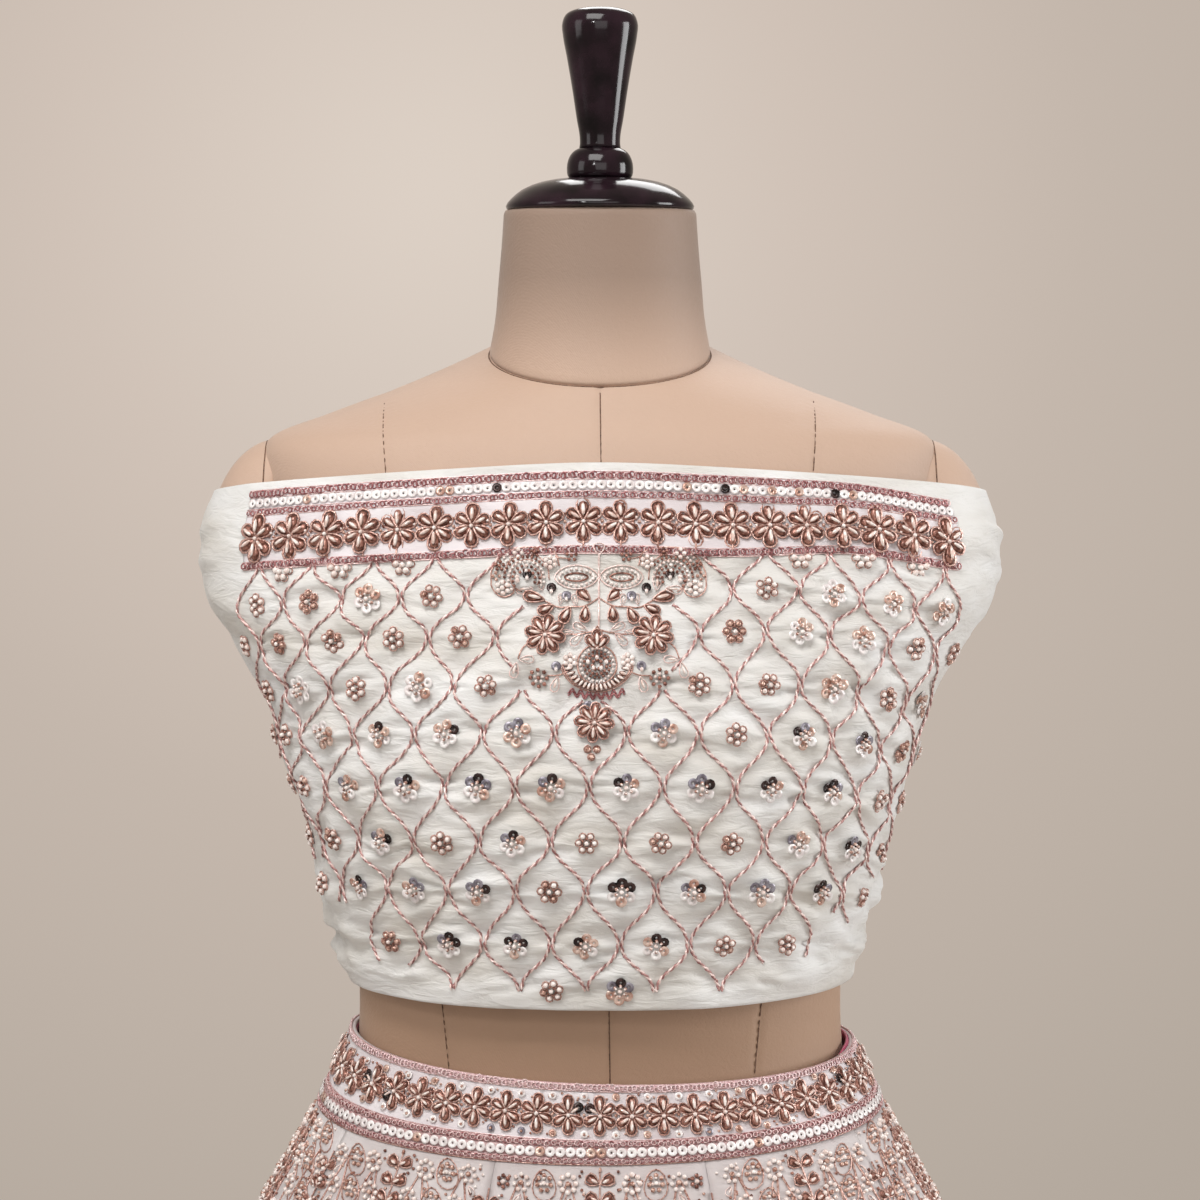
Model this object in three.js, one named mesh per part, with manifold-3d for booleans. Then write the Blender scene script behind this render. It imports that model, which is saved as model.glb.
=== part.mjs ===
// Bridal lehenga set on a limbless dress form: an embroidered blouse piece wrapped off the
// shoulders, and a floor-length skirt of flared panels on a raised, beaded waistband.
// Millimetres, +Z up. The origin is on the floor under the pole. The front faces -Y.
import * as THREE from 'three';
import { mergeVertices } from 'three/addons/utils/BufferGeometryUtils.js';
import Module from 'manifold-3d';

// Cloth walls and the gap kept at seams
const BLOUSE_WALL = 1.6;
const BORDER_WALL = 1.2;
const SKIRT_WALL = 2.0;
const BAND_WALL = 2.0;
const FACING_WALL = 1.0;
const SEAM_GAP = 0.3;

// Blouse piece: edges, overlap of its two ends behind, and the raised border on its front
const BLOUSE_TOP_SIDE = 1352;
const BLOUSE_TOP_RISE = 21;
const BLOUSE_TOP_ROUND = 0.13;
const BLOUSE_HEM = 1087;
const BLOUSE_COLUMNS = 56;
const OVERLAP_ANGLE = 0.09;
const OVERLAP_LIFT = 3.2;
const OVERLAP_FROM = 0.5;
const OVERLAP_FULL = 0.12;
const BORDER_HALF_ANGLE = THREE.MathUtils.degToRad(60);
const BORDER_EDGE = 4;
const BORDER_HEIGHT = 41;
const BORDER_SAG = 5;
const BORDER_FLOWERS = 20;
const BORDER_FLOWER_CENTRE = 0.58;
const BORDER_FLOWER_HALF = 0.4;

// Skirt: waistband edges, panels and hem
const BAND_TOP = 1053;
const BAND_TOP_DIP = 8;
const BAND_TOP_LEAN = 4;
const BAND_BOTTOM = 1016;
const BAND_BOTTOM_DIP = 9.5;
const BAND_FLOWERS = 47;
const BAND_FLOWER_CENTRE = 0.49;
const BAND_FLOWER_HALF = 0.42;
const FLOWER_RAISE = 1.4;
const FACING_DEPTH = 34;
const FACING_RISE = 1.2;
const KALIS = 9;
const KALI_COLUMNS = 9;
const HEM_Z = 15;
const FOLD_START = 940;

// Dress form and stand
const NECK_TOP = 1505;
const NECK_SEAM = 1427;
const NECK_TILT = 17;
const TORSO_BOTTOM = 800;
const CAP_CENTRE = { x: 176, z: 1318 };
const CAP_RADII = { x: 39.4, y: 36, up: 63, down: 44 };
const POLE_RADIUS = 16;
const BASE_RADIUS = 200;
const BASE_TOP = 22;
const ROUND_SEGMENTS = 32;
const TURN_SEGMENTS = 24;

// Outer sizes of the wrapped blouse piece: half-width at the side, depth in front and behind,
// and how square the ring is (2 is an ellipse)
const BLOUSE_SECTIONS = [
  { z: 1372, side: 205, front: 85, back: 94, square: 2.1 },
  { z: 1352, side: 212, front: 91, back: 100, square: 2.1 },
  { z: 1336, side: 217, front: 97, back: 105, square: 2.1 },
  { z: 1314, side: 218.5, front: 105, back: 110, square: 2.1 },
  { z: 1292, side: 215, front: 113, back: 113, square: 2.1 },
  { z: 1275, side: 204.5, front: 118, back: 113, square: 2.15 },
  { z: 1243, side: 184, front: 124, back: 110, square: 2.25 },
  { z: 1215, side: 175.5, front: 127, back: 106, square: 2.3 },
  { z: 1182, side: 164.5, front: 126, back: 102, square: 2.3 },
  { z: 1148, side: 153.5, front: 121, back: 99, square: 2.3 },
  { z: 1120, side: 146.5, front: 115, back: 98, square: 2.25 },
  { z: 1087, side: 139, front: 110, back: 98, square: 2.2 },
];

// Rows of the blouse wall, as a share of the way from its top edge to its hem
const BLOUSE_ROWS = [
  0, 0.08, 0.16, 0.26, 0.37, 0.48, 0.6, 0.7, 0.77, 0.825, 0.88, 0.92, 0.96, 1,
];

// Soft rolls where the wrapped cloth slumps above the waist: the angle of its middle from the
// front, its height, its reach round the body, its half-height and how far it stands out
const BLOUSE_ROLLS = [
  { angle: -88, z: 1136, reach: 26, half: 9, out: 4.5 },
  { angle: -84, z: 1118, reach: 30, half: 8, out: 4.0 },
  { angle: -80, z: 1100, reach: 34, half: 8, out: 3.5 },
  { angle: 86, z: 1139, reach: 30, half: 9, out: 4.0 },
  { angle: 84, z: 1108, reach: 26, half: 8, out: 3.5 },
  { angle: 178, z: 1124, reach: 60, half: 10, out: 3.0 },
];

const BAND_SECTIONS = [
  { z: 1062, side: 136.5, front: 95, back: 92, square: 2 },
  { z: 1053, side: 138.5, front: 97, back: 94, square: 2 },
  { z: 1036, side: 146, front: 102.5, back: 100, square: 2 },
  { z: 1016, side: 156, front: 110, back: 107, square: 2 },
  { z: 1006, side: 160.5, front: 113.5, back: 111, square: 2 },
];

const SKIRT_SECTIONS = [
  { z: 1020, side: 154, front: 107.5, back: 105, square: 2 },
  { z: 1006, side: 161, front: 113.5, back: 112, square: 2 },
  { z: 956, side: 190, front: 139, back: 137, square: 2 },
  { z: 860, side: 241, front: 188, back: 190, square: 2 },
  { z: 700, side: 318, front: 264, back: 272, square: 2 },
  { z: 450, side: 425, front: 375, back: 388, square: 2 },
  { z: 200, side: 520, front: 478, back: 496, square: 2 },
  { z: 15, side: 588, front: 552, back: 572, square: 2 },
];

// Rows of a skirt panel, as a share of the way from the waistband to the hem
const KALI_ROWS = [0, 0.07, 0.16, 0.29, 0.45, 0.62, 0.8, 1];

// Flutes of the skirt: the angle of each from the front, its half-spread and its depth at the hem
const SKIRT_FLUTES = [
  { angle: 2, spread: 11, out: 20 },
  { angle: 29, spread: 10, out: 26 },
  { angle: 57, spread: 11, out: 18 },
  { angle: 83, spread: 10, out: 28 },
  { angle: 110, spread: 11, out: 21 },
  { angle: 138, spread: 10, out: 26 },
  { angle: 164, spread: 10, out: 17 },
  { angle: 190, spread: 10, out: 25 },
  { angle: 217, spread: 11, out: 20 },
  { angle: 244, spread: 10, out: 27 },
  { angle: 270, spread: 10, out: 18 },
  { angle: 296, spread: 11, out: 27 },
  { angle: 324, spread: 10, out: 22 },
  { angle: 347, spread: 8, out: 14 },
];

// Dress form: tilt is how much lower the ring lies in front than at its sides
const TORSO_SECTIONS = [
  { z: 800, side: 168, front: 98, back: 112, square: 2.2, tilt: 0 },
  { z: 835, side: 175, front: 104, back: 119, square: 2.2, tilt: 0 },
  { z: 880, side: 176, front: 105, back: 121, square: 2.2, tilt: 0 },
  { z: 940, side: 164, front: 101, back: 114, square: 2.2, tilt: 0 },
  { z: 1000, side: 146, front: 94, back: 99, square: 2.1, tilt: 0 },
  { z: 1030, side: 137.5, front: 90, back: 91, square: 2.05, tilt: 0 },
  { z: 1058, side: 133.6, front: 88.5, back: 86, square: 2, tilt: 0 },
  { z: 1100, side: 134.5, front: 92, back: 86, square: 2, tilt: 0 },
  { z: 1150, side: 142, front: 106, back: 90, square: 2.1, tilt: 0 },
  { z: 1195, side: 150, front: 117, back: 96, square: 2.2, tilt: 0 },
  { z: 1240, side: 160, front: 114, back: 102, square: 2.2, tilt: 0 },
  { z: 1285, side: 172, front: 105, back: 105, square: 2.1, tilt: 0 },
  { z: 1325, side: 180, front: 95, back: 101, square: 2.1, tilt: 0 },
  { z: 1358, side: 184, front: 86, back: 93, square: 2.1, tilt: 0 },
  { z: 1381, side: 181, front: 77, back: 84, square: 2, tilt: 0 },
  { z: 1395, side: 148, front: 70, back: 77, square: 2, tilt: 3 },
  { z: 1409, side: 109, front: 65, back: 69, square: 2, tilt: 8 },
  { z: NECK_SEAM, side: 61, front: 60, back: 53, square: 2, tilt: NECK_TILT },
];

const NECK_SECTIONS = [
  { z: NECK_SEAM + SEAM_GAP, side: 60.6, front: 59.6, back: 52.6, square: 2, tilt: NECK_TILT },
  { z: 1446, side: 57.2, front: 54, back: 50, square: 2, tilt: 9 },
  { z: 1466, side: 55.4, front: 51.5, back: 49.5, square: 2, tilt: 3 },
  { z: 1486, side: 53.6, front: 50, back: 48.5, square: 2, tilt: 0 },
  { z: NECK_TOP, side: 52.3, front: 49.5, back: 48, square: 2, tilt: 0 },
];

// Turned pieces above the neck and of the stand, as radius and height from bottom to top
const DISH_PROFILE = [
  { r: 0, z: NECK_TOP + SEAM_GAP },
  { r: 50, z: NECK_TOP + SEAM_GAP },
  { r: 51.3, z: 1507.4 },
  { r: 48.6, z: 1511.4 },
  { r: 42.5, z: 1516.4 },
  { r: 32, z: 1520.6 },
  { r: 19, z: 1522.6 },
  { r: 0, z: 1522.6 },
];
const COLLAR_PROFILE = [
  { r: 0, z: 1522.9 },
  { r: 16.8, z: 1522.9 },
  { r: 18, z: 1525.4 },
  { r: 18, z: 1530 },
  { r: 17, z: 1533.8 },
  { r: 14.8, z: 1536.9 },
  { r: 12, z: 1538.6 },
  { r: 0, z: 1538.6 },
];
const HANDLE_PROFILE = [
  { r: 0, z: 1538.9 },
  { r: 11.2, z: 1538.9 },
  { r: 11, z: 1543 },
  { r: 12.6, z: 1554 },
  { r: 15, z: 1570 },
  { r: 17.9, z: 1587 },
  { r: 20.2, z: 1600 },
  { r: 20.6, z: 1605.5 },
  { r: 18.6, z: 1610.6 },
  { r: 13, z: 1613.4 },
  { r: 0, z: 1614.4 },
];
const POLE_PROFILE = [
  { r: 0, z: BASE_TOP + SEAM_GAP },
  { r: POLE_RADIUS, z: BASE_TOP + SEAM_GAP },
  { r: POLE_RADIUS, z: 780 },
  { r: 44, z: 786 },
  { r: 48, z: TORSO_BOTTOM - SEAM_GAP },
  { r: 0, z: TORSO_BOTTOM - SEAM_GAP },
];
const BASE_PROFILE = [
  { r: 0, z: 0 },
  { r: BASE_RADIUS, z: 0 },
  { r: BASE_RADIUS, z: 6 },
  { r: 194, z: 10 },
  { r: 60, z: 15 },
  { r: 30, z: BASE_TOP },
  { r: 0, z: BASE_TOP },
];

const FORM_COVER = { color: 0xb7a188, roughness: 0.75, metalness: 0 };
const GLOSS_BLACK = { color: 0x14100f, roughness: 0.15, metalness: 0 };
const STAND_METAL = { color: 0x2a2624, roughness: 0.45, metalness: 0.6 };
const IVORY_CLOTH = { color: 0xe9e0d6, roughness: 0.8, metalness: 0 };
const BORDER_CLOTH = { color: 0xe6d2ca, roughness: 0.7, metalness: 0 };
const PINK_SATIN = { color: 0xc2185b, roughness: 0.5, metalness: 0 };

const model = new THREE.Group();

function addMesh(name, geometry, look) {
  const mesh = new THREE.Mesh(geometry, new THREE.MeshStandardMaterial(look));
  mesh.name = name;
  model.add(mesh);
  return mesh;
}

// Smooth curve through one column of a table of sections, at height z
function columnAt(sections, key, z) {
  const rows = [...sections].sort((a, b) => a.z - b.z);
  const height = THREE.MathUtils.clamp(z, rows[0].z, rows[rows.length - 1].z);
  let i = 0;
  while (i < rows.length - 2 && height > rows[i + 1].z) {
    i += 1;
  }
  const slope = (k) => {
    const low = rows[Math.max(k - 1, 0)];
    const high = rows[Math.min(k + 1, rows.length - 1)];
    return (high[key] - low[key]) / (high.z - low.z);
  };
  const step = rows[i + 1].z - rows[i].z;
  const t = (height - rows[i].z) / step;
  const [t2, t3] = [t * t, t * t * t];
  return rows[i][key] * (2 * t3 - 3 * t2 + 1)
    + rows[i + 1][key] * (3 * t2 - 2 * t3)
    + slope(i) * step * (t3 - 2 * t2 + t)
    + slope(i + 1) * step * (t3 - t2);
}

// Point on the ring at an angle from the front (towards +X), moved out by some millimetres
function ringPoint(section, angle, out) {
  const power = 2 / section.square;
  const [s, c] = [Math.sin(angle), Math.cos(angle)];
  const depth = (c > 0 ? section.front : section.back) + out;
  return new THREE.Vector3(
    (section.side + out) * Math.sign(s) * Math.abs(s) ** power,
    -depth * Math.sign(c) * Math.abs(c) ** power,
    section.z - (section.tilt ?? 0) * c,
  );
}

function surfacePoint(sections, angle, z, out) {
  const section = {
    z,
    side: columnAt(sections, 'side', z),
    front: columnAt(sections, 'front', z),
    back: columnAt(sections, 'back', z),
    square: columnAt(sections, 'square', z),
  };
  return ringPoint(section, angle, out);
}

// Closed mesh from vertices and faces of 3 or 4 corners, turned so that its faces point out
function closedGeometry(vertices, faces) {
  const triangles = [];
  for (const face of faces) {
    triangles.push([face[0], face[1], face[2]]);
    if (face.length === 4) {
      triangles.push([face[0], face[2], face[3]]);
    }
  }
  const volume = triangles.reduce((sum, [a, b, c]) => {
    const cross = new THREE.Vector3().crossVectors(vertices[b], vertices[c]);
    return sum + vertices[a].dot(cross);
  }, 0);
  const index = triangles.flatMap(([a, b, c]) => (volume > 0 ? [a, b, c] : [a, c, b]));
  const geometry = new THREE.BufferGeometry().setFromPoints(vertices);
  geometry.setIndex(index);
  geometry.computeVertexNormals();
  return geometry;
}

// Wall between an outer and an inner grid of points, both as grid[column][row]
function wallGeometry(outer, inner, isTube) {
  const columns = outer.length;
  const rows = outer[0].length;
  const vertices = [...outer.flat(), ...inner.flat()];
  const outerAt = (i, j) => (i % columns) * rows + j;
  const innerAt = (i, j) => columns * rows + outerAt(i, j);
  const faces = [];
  const lastColumn = isTube ? columns : columns - 1;
  for (let i = 0; i < lastColumn; i += 1) {
    for (let j = 0; j < rows - 1; j += 1) {
      faces.push([outerAt(i, j), outerAt(i, j + 1), outerAt(i + 1, j + 1), outerAt(i + 1, j)]);
      faces.push([innerAt(i, j), innerAt(i + 1, j), innerAt(i + 1, j + 1), innerAt(i, j + 1)]);
    }
    const end = rows - 1;
    faces.push([outerAt(i, 0), outerAt(i + 1, 0), innerAt(i + 1, 0), innerAt(i, 0)]);
    faces.push([outerAt(i, end), innerAt(i, end), innerAt(i + 1, end), outerAt(i + 1, end)]);
  }
  if (!isTube) {
    const last = columns - 1;
    for (let j = 0; j < rows - 1; j += 1) {
      faces.push([outerAt(0, j), innerAt(0, j), innerAt(0, j + 1), outerAt(0, j + 1)]);
      faces.push([outerAt(last, j), outerAt(last, j + 1), innerAt(last, j + 1), innerAt(last, j)]);
    }
  }
  return closedGeometry(vertices, faces);
}

// Solid stack of rings with flat ends, its sides moved out by some millimetres
function ringSolid(sections, out) {
  const vertices = sections.flatMap((section) => Array.from(
    { length: ROUND_SEGMENTS },
    (_, i) => ringPoint(section, (2 * Math.PI * i) / ROUND_SEGMENTS, out),
  ));
  const at = (ring, i) => ring * ROUND_SEGMENTS + (i % ROUND_SEGMENTS);
  const faces = [];
  for (let ring = 0; ring < sections.length - 1; ring += 1) {
    for (let i = 0; i < ROUND_SEGMENTS; i += 1) {
      faces.push([at(ring, i), at(ring, i + 1), at(ring + 1, i + 1), at(ring + 1, i)]);
    }
  }
  const top = sections.length - 1;
  for (let i = 1; i < ROUND_SEGMENTS - 1; i += 1) {
    faces.push([at(0, 0), at(0, i + 1), at(0, i)]);
    faces.push([at(top, 0), at(top, i), at(top, i + 1)]);
  }
  return closedGeometry(vertices, faces);
}

function turned(profile) {
  const points = profile.map(({ r, z }) => new THREE.Vector2(r, z));
  return new THREE.LatheGeometry(points, TURN_SEGMENTS).rotateX(Math.PI / 2);
}

function smoothStep(from, to, value) {
  return THREE.MathUtils.smoothstep(value, from, to);
}

// 1 in the middle of each flower of a row and 0 between them
function flowerDome(across, up, centre, half) {
  const side = Math.sin(Math.PI * across) ** 2;
  const rise = Math.max(0, 1 - ((up - centre) / half) ** 2);
  return side * rise;
}

// Blouse piece: its top edge falls evenly from a rounded middle to the sides, then runs level
function blouseTop(angle) {
  const away = Math.hypot(angle, BLOUSE_TOP_ROUND) / (Math.PI / 2);
  return BLOUSE_TOP_SIDE + BLOUSE_TOP_RISE * Math.max(0, 1 - away);
}

function blouseRoll(angle, z) {
  return BLOUSE_ROLLS.reduce((sum, roll) => {
    const turn = THREE.MathUtils.degToRad(roll.angle);
    const away = Math.atan2(Math.sin(angle - turn), Math.cos(angle - turn));
    const round = Math.exp(-((away / THREE.MathUtils.degToRad(roll.reach)) ** 2));
    return sum + roll.out * round * Math.exp(-(((z - roll.z) / roll.half) ** 2));
  }, 0);
}

function blousePoint(angle, z, out) {
  const rise = smoothStep(Math.PI - OVERLAP_FROM, Math.PI - OVERLAP_FULL, angle);
  const lift = OVERLAP_LIFT * rise;
  return surfacePoint(BLOUSE_SECTIONS, angle, z, out + lift + blouseRoll(angle, z));
}

function addBlouse() {
  const columnPoints = (out) => Array.from({ length: BLOUSE_COLUMNS + 1 }, (_, i) => {
    const angle = (Math.PI + OVERLAP_ANGLE) * ((2 * i) / BLOUSE_COLUMNS - 1);
    return BLOUSE_ROWS.map((share) => {
      const z = THREE.MathUtils.lerp(blouseTop(angle), BLOUSE_HEM, share);
      return blousePoint(angle, z, out);
    });
  });
  const wall = wallGeometry(columnPoints(0), columnPoints(-BLOUSE_WALL), false);
  addMesh('blouse_wrap', wall, IVORY_CLOTH);
}

// Beaded border on the front of the blouse piece, with a raised pad for each flower. Its right
// end sags a little below the edge of the cloth.
function borderHeight(angle, share) {
  const sag = BORDER_SAG * smoothStep(0.6, 1.05, angle);
  return blouseTop(angle) - BORDER_EDGE - sag - BORDER_HEIGHT * share;
}

function addBlouseBorder() {
  const perFlower = 4;
  const columns = BORDER_FLOWERS * perFlower;
  const rows = [0, 0.26, BORDER_FLOWER_CENTRE, 0.86, 1];
  const grid = (out, raise) => Array.from({ length: columns + 1 }, (_, i) => {
    const angle = BORDER_HALF_ANGLE * ((2 * i) / columns - 1);
    return rows.map((share) => {
      const across = i / perFlower;
      const dome = flowerDome(across, share, BORDER_FLOWER_CENTRE, BORDER_FLOWER_HALF);
      return blousePoint(angle, borderHeight(angle, share), out + raise * dome);
    });
  });
  const wall = wallGeometry(grid(SEAM_GAP + BORDER_WALL, FLOWER_RAISE), grid(SEAM_GAP, 0), false);
  addMesh('blouse_border', wall, BORDER_CLOTH);
}

// Waistband with its facing
function bandTop(angle) {
  const dip = BAND_TOP_DIP * Math.max(0, Math.cos(angle));
  return BAND_TOP - dip - BAND_TOP_LEAN * Math.sin(angle);
}

function bandBottom(angle) {
  return BAND_BOTTOM - BAND_BOTTOM_DIP * Math.max(0, Math.cos(angle));
}

function tubeGrid(columns, pointsAt) {
  return Array.from({ length: columns }, (_, i) => pointsAt((2 * Math.PI * i) / columns, i));
}

function addWaistband() {
  const perFlower = 3;
  const columns = BAND_FLOWERS * perFlower;
  const rows = [0, 0.22, BAND_FLOWER_CENTRE, 0.76, 1];
  const grid = (out, raise) => tubeGrid(columns, (angle, i) => rows.map((share) => {
    const z = THREE.MathUtils.lerp(bandTop(angle), bandBottom(angle), share);
    const dome = flowerDome(i / perFlower, share, BAND_FLOWER_CENTRE, BAND_FLOWER_HALF);
    return surfacePoint(BAND_SECTIONS, angle, z, out + raise * dome);
  }));
  addMesh('waistband', wallGeometry(grid(0, FLOWER_RAISE), grid(-BAND_WALL, 0), true), BORDER_CLOTH);
}

function addFacing() {
  const columns = BAND_FLOWERS;
  const rows = [0, 0.33, 0.66, 1];
  const seat = -BAND_WALL - SEAM_GAP;
  const grid = (out) => tubeGrid(columns, (angle) => rows.map((share) => {
    const z = bandTop(angle) + FACING_RISE - FACING_DEPTH * share;
    return surfacePoint(BAND_SECTIONS, angle, z, out);
  }));
  addMesh('waistband_facing', wallGeometry(grid(seat), grid(seat - FACING_WALL), true), PINK_SATIN);
}

// Skirt panels
function fluteOut(angle, z) {
  const fall = 1 - smoothStep(HEM_Z, FOLD_START, z);
  return SKIRT_FLUTES.reduce((sum, flute) => {
    const turn = THREE.MathUtils.degToRad(flute.angle);
    const away = Math.atan2(Math.sin(angle - turn), Math.cos(angle - turn));
    const round = Math.exp(-((away / THREE.MathUtils.degToRad(flute.spread)) ** 2));
    return sum + flute.out * fall * round;
  }, 0);
}

function skirtTop(angle) {
  return bandBottom(angle) - SEAM_GAP;
}

function skirtPoint(angle, share, out) {
  const z = THREE.MathUtils.lerp(skirtTop(angle), HEM_Z, share);
  return surfacePoint(SKIRT_SECTIONS, angle, z, out + fluteOut(angle, z));
}

// Half of the seam gap, as an angle at a place on the skirt
function seamAngle(angle, share) {
  const step = 0.001;
  const here = skirtPoint(angle, share, -SKIRT_WALL);
  const speed = here.distanceTo(skirtPoint(angle + step, share, -SKIRT_WALL)) / step;
  return SEAM_GAP / 2 / speed;
}

function addKalis() {
  const width = (2 * Math.PI) / KALIS;
  for (let k = 0; k < KALIS; k += 1) {
    const centre = k * width;
    const grid = (out) => Array.from({ length: KALI_COLUMNS + 1 }, (_, i) => (
      KALI_ROWS.map((share) => {
        const across = (2 * i) / KALI_COLUMNS - 1;
        const flat = centre + (width / 2) * across;
        const inset = Math.abs(across) === 1 ? seamAngle(flat, share) * across : 0;
        return skirtPoint(flat - inset, share, out);
      })
    ));
    addMesh(`skirt_kali_${k + 1}`, wallGeometry(grid(0), grid(-SKIRT_WALL), false), IVORY_CLOTH);
  }
}

// Dress form
function toManifold(wasm, geometry) {
  const bare = new THREE.BufferGeometry();
  bare.setAttribute('position', geometry.getAttribute('position'));
  bare.setIndex(geometry.getIndex());
  const merged = mergeVertices(bare);
  return new wasm.Manifold(new wasm.Mesh({
    numProp: 3,
    vertProperties: new Float32Array(merged.getAttribute('position').array),
    triVerts: new Uint32Array(merged.getIndex().array),
  }));
}

function fromManifold(solid) {
  const { vertProperties, triVerts } = solid.getMesh();
  const geometry = new THREE.BufferGeometry();
  geometry.setAttribute('position', new THREE.BufferAttribute(new Float32Array(vertProperties), 3));
  geometry.setIndex(new THREE.BufferAttribute(new Uint32Array(triVerts), 1));
  geometry.computeVertexNormals();
  return geometry;
}

// Oval of an arm cap, taller above its middle than below
function capOval(sign) {
  const oval = new THREE.SphereGeometry(1, 20, 12);
  const places = oval.getAttribute('position');
  for (let i = 0; i < places.count; i += 1) {
    const height = places.getZ(i) > 0 ? CAP_RADII.up : CAP_RADII.down;
    places.setX(i, sign * CAP_CENTRE.x + CAP_RADII.x * places.getX(i));
    places.setY(i, CAP_RADII.y * places.getY(i));
    places.setZ(i, CAP_CENTRE.z + height * places.getZ(i));
  }
  return oval;
}

function addForm(wasm) {
  addMesh('form_torso', ringSolid(TORSO_SECTIONS, 0), FORM_COVER);
  addMesh('form_neck', ringSolid(NECK_SECTIONS, 0), FORM_COVER);
  const cutter = toManifold(wasm, ringSolid(TORSO_SECTIONS, SEAM_GAP));
  for (const [side, sign] of [['left', -1], ['right', 1]]) {
    const inward = new THREE.BoxGeometry(CAP_CENTRE.x, 200, 200)
      .translate((sign * CAP_CENTRE.x) / 2, 0, CAP_CENTRE.z);
    const cap = toManifold(wasm, capOval(sign)).subtract(toManifold(wasm, inward)).subtract(cutter);
    addMesh(`form_arm_cap_${side}`, fromManifold(cap), FORM_COVER);
  }
}

function addStand() {
  addMesh('form_dish', turned(DISH_PROFILE), GLOSS_BLACK);
  addMesh('form_collar', turned(COLLAR_PROFILE), GLOSS_BLACK);
  addMesh('form_handle', turned(HANDLE_PROFILE), GLOSS_BLACK);
  addMesh('stand_pole', turned(POLE_PROFILE), STAND_METAL);
  addMesh('stand_base', turned(BASE_PROFILE), STAND_METAL);
}

const wasm = await Module();
wasm.setup();

addForm(wasm);
addStand();
addBlouse();
addBlouseBorder();
addWaistband();
addFacing();
addKalis();

export default model;
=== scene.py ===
import math

import bpy
import numpy as np
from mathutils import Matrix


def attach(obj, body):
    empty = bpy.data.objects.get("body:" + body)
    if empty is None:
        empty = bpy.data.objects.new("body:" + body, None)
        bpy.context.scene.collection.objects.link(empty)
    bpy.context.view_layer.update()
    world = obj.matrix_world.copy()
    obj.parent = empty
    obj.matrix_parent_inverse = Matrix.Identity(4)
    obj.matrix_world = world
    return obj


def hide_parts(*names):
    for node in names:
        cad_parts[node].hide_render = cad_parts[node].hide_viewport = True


# Bridal lehenga on a limbless dress form. Tables and shapes are in millimetres, as on the solids,
# and meshes are written in metres. The front faces -Y.
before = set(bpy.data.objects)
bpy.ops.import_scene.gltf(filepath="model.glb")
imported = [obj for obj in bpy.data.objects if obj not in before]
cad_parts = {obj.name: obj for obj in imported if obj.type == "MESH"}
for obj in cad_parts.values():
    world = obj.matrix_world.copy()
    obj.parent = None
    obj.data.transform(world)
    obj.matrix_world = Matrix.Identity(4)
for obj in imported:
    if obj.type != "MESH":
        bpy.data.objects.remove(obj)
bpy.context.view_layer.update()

MM = 0.001
PI = math.pi
rng = np.random.default_rng(365)

# Cloth
BLOUSE_WALL = 1.4
BLOUSE_TOP_SIDE = 1352.0
BLOUSE_TOP_RISE = 21.0
BLOUSE_TOP_ROUND = 0.13
BLOUSE_HEM = 1087.0
OVERLAP_ANGLE = 0.09
OVERLAP_LIFT = 3.2
OVERLAP_FROM = 0.5
OVERLAP_FULL = 0.12
BORDER_HALF_ANGLE = math.radians(60)
BORDER_EDGE = 4.0
BORDER_HEIGHT = 41.0
BORDER_SAG = 5.0
BORDER_NARROWING = 0.13
BORDER_FLOWERS = 20
BAND_TOP = 1053.0
BAND_TOP_DIP = 8.0
BAND_TOP_LEAN = 4.0
BAND_BOTTOM = 1016.0
BAND_BOTTOM_DIP = 9.5
BAND_FLOWERS = 47
BAND_WALL = 2.0
FACING_WALL = 1.0
FACING_DEPTH = 34.0
FACING_DROP = 2.0
SEAM_GAP = 0.3
KALIS = 9
SKIRT_WALL = 2.0
HEM_Z = 15.0
FOLD_START = 940.0

# Edges of the worked part of the blouse piece, each as two places between which it fades: half
# its width along the cloth, its hem and its top
WORKED_SIDE = (176, 222)
WORKED_HEM = (1088, 1104)
WORKED_TOP = (1322, 1330)
# Columns and rows of the blouse piece: close together over the front, as far as an angle
FRONT_ANGLE = 1.42
FRONT_COLUMNS = 148
BACK_COLUMNS = 26
BLOUSE_MESH_ROWS = 186

# Embroidery
# Rows of small cords along the border: drop from its top edge and height of the row
BORDER_CORDS = ((2.4, 3.6), (12.2, 3.0), (40.2, 3.6))
# Small beads on the ground of the waistband, and how far up and down from its middle
BAND_BEADS = 1100
BAND_BEADS_REACH = 10.5
# Small beads on the ground of one panel's close work, in front and behind, and just below it
SEEDS_IN_FRONT, SEEDS_BEHIND, SEEDS_BELOW = 200, 70, 12
# Rows of motifs in the close work, and the pitch between them
TOP_ROWS = 5
TOP_PITCH = 14.5
# Stems of leaves below the close work: share of half a panel, top, pairs of leaves, pitch, size
LEAF_STEMS = ((0.0, 917.0, 34, 24.5, 18.0), (1.0, 905.0, 27, 31.0, 16.0))
# Vines: top, bottom, step down, length of a wave at the top and swing as a share of half a panel
VINE_TOP, VINE_BOTTOM, VINE_STEP = 998.0, 62.0, 12.0
VINE_WAVE = 96
VINE_SWING = 0.12
VINE_LANES = (0.28, 0.72)
# Flowers of the skirt: least room for one across, first step down and how it grows
FLOWER_ROOM = 70
FLOWER_STEP = 42
FLOWER_GROWTH = 0.012
# Hem: flowers in its row, their height, and its cords as height and radius
HEM_FLOWERS = 60
HEM_MIDDLE = 45.0
HEM_CORDS = ((66.0, 1.3), (24.0, 1.5))

# Form
NECK_SEAM = 1427.0
NECK_TILT = 17.0
NECK_TOP = 1505.0
CAP_CENTRE_X = 176.0
CAP_CENTRE_Z = 1318.0
CAP_RADII = (39.4, 36.0)
CAP_HEIGHTS = (63.0, 44.0)
CAP_SEAM_X = 181.8
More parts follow.
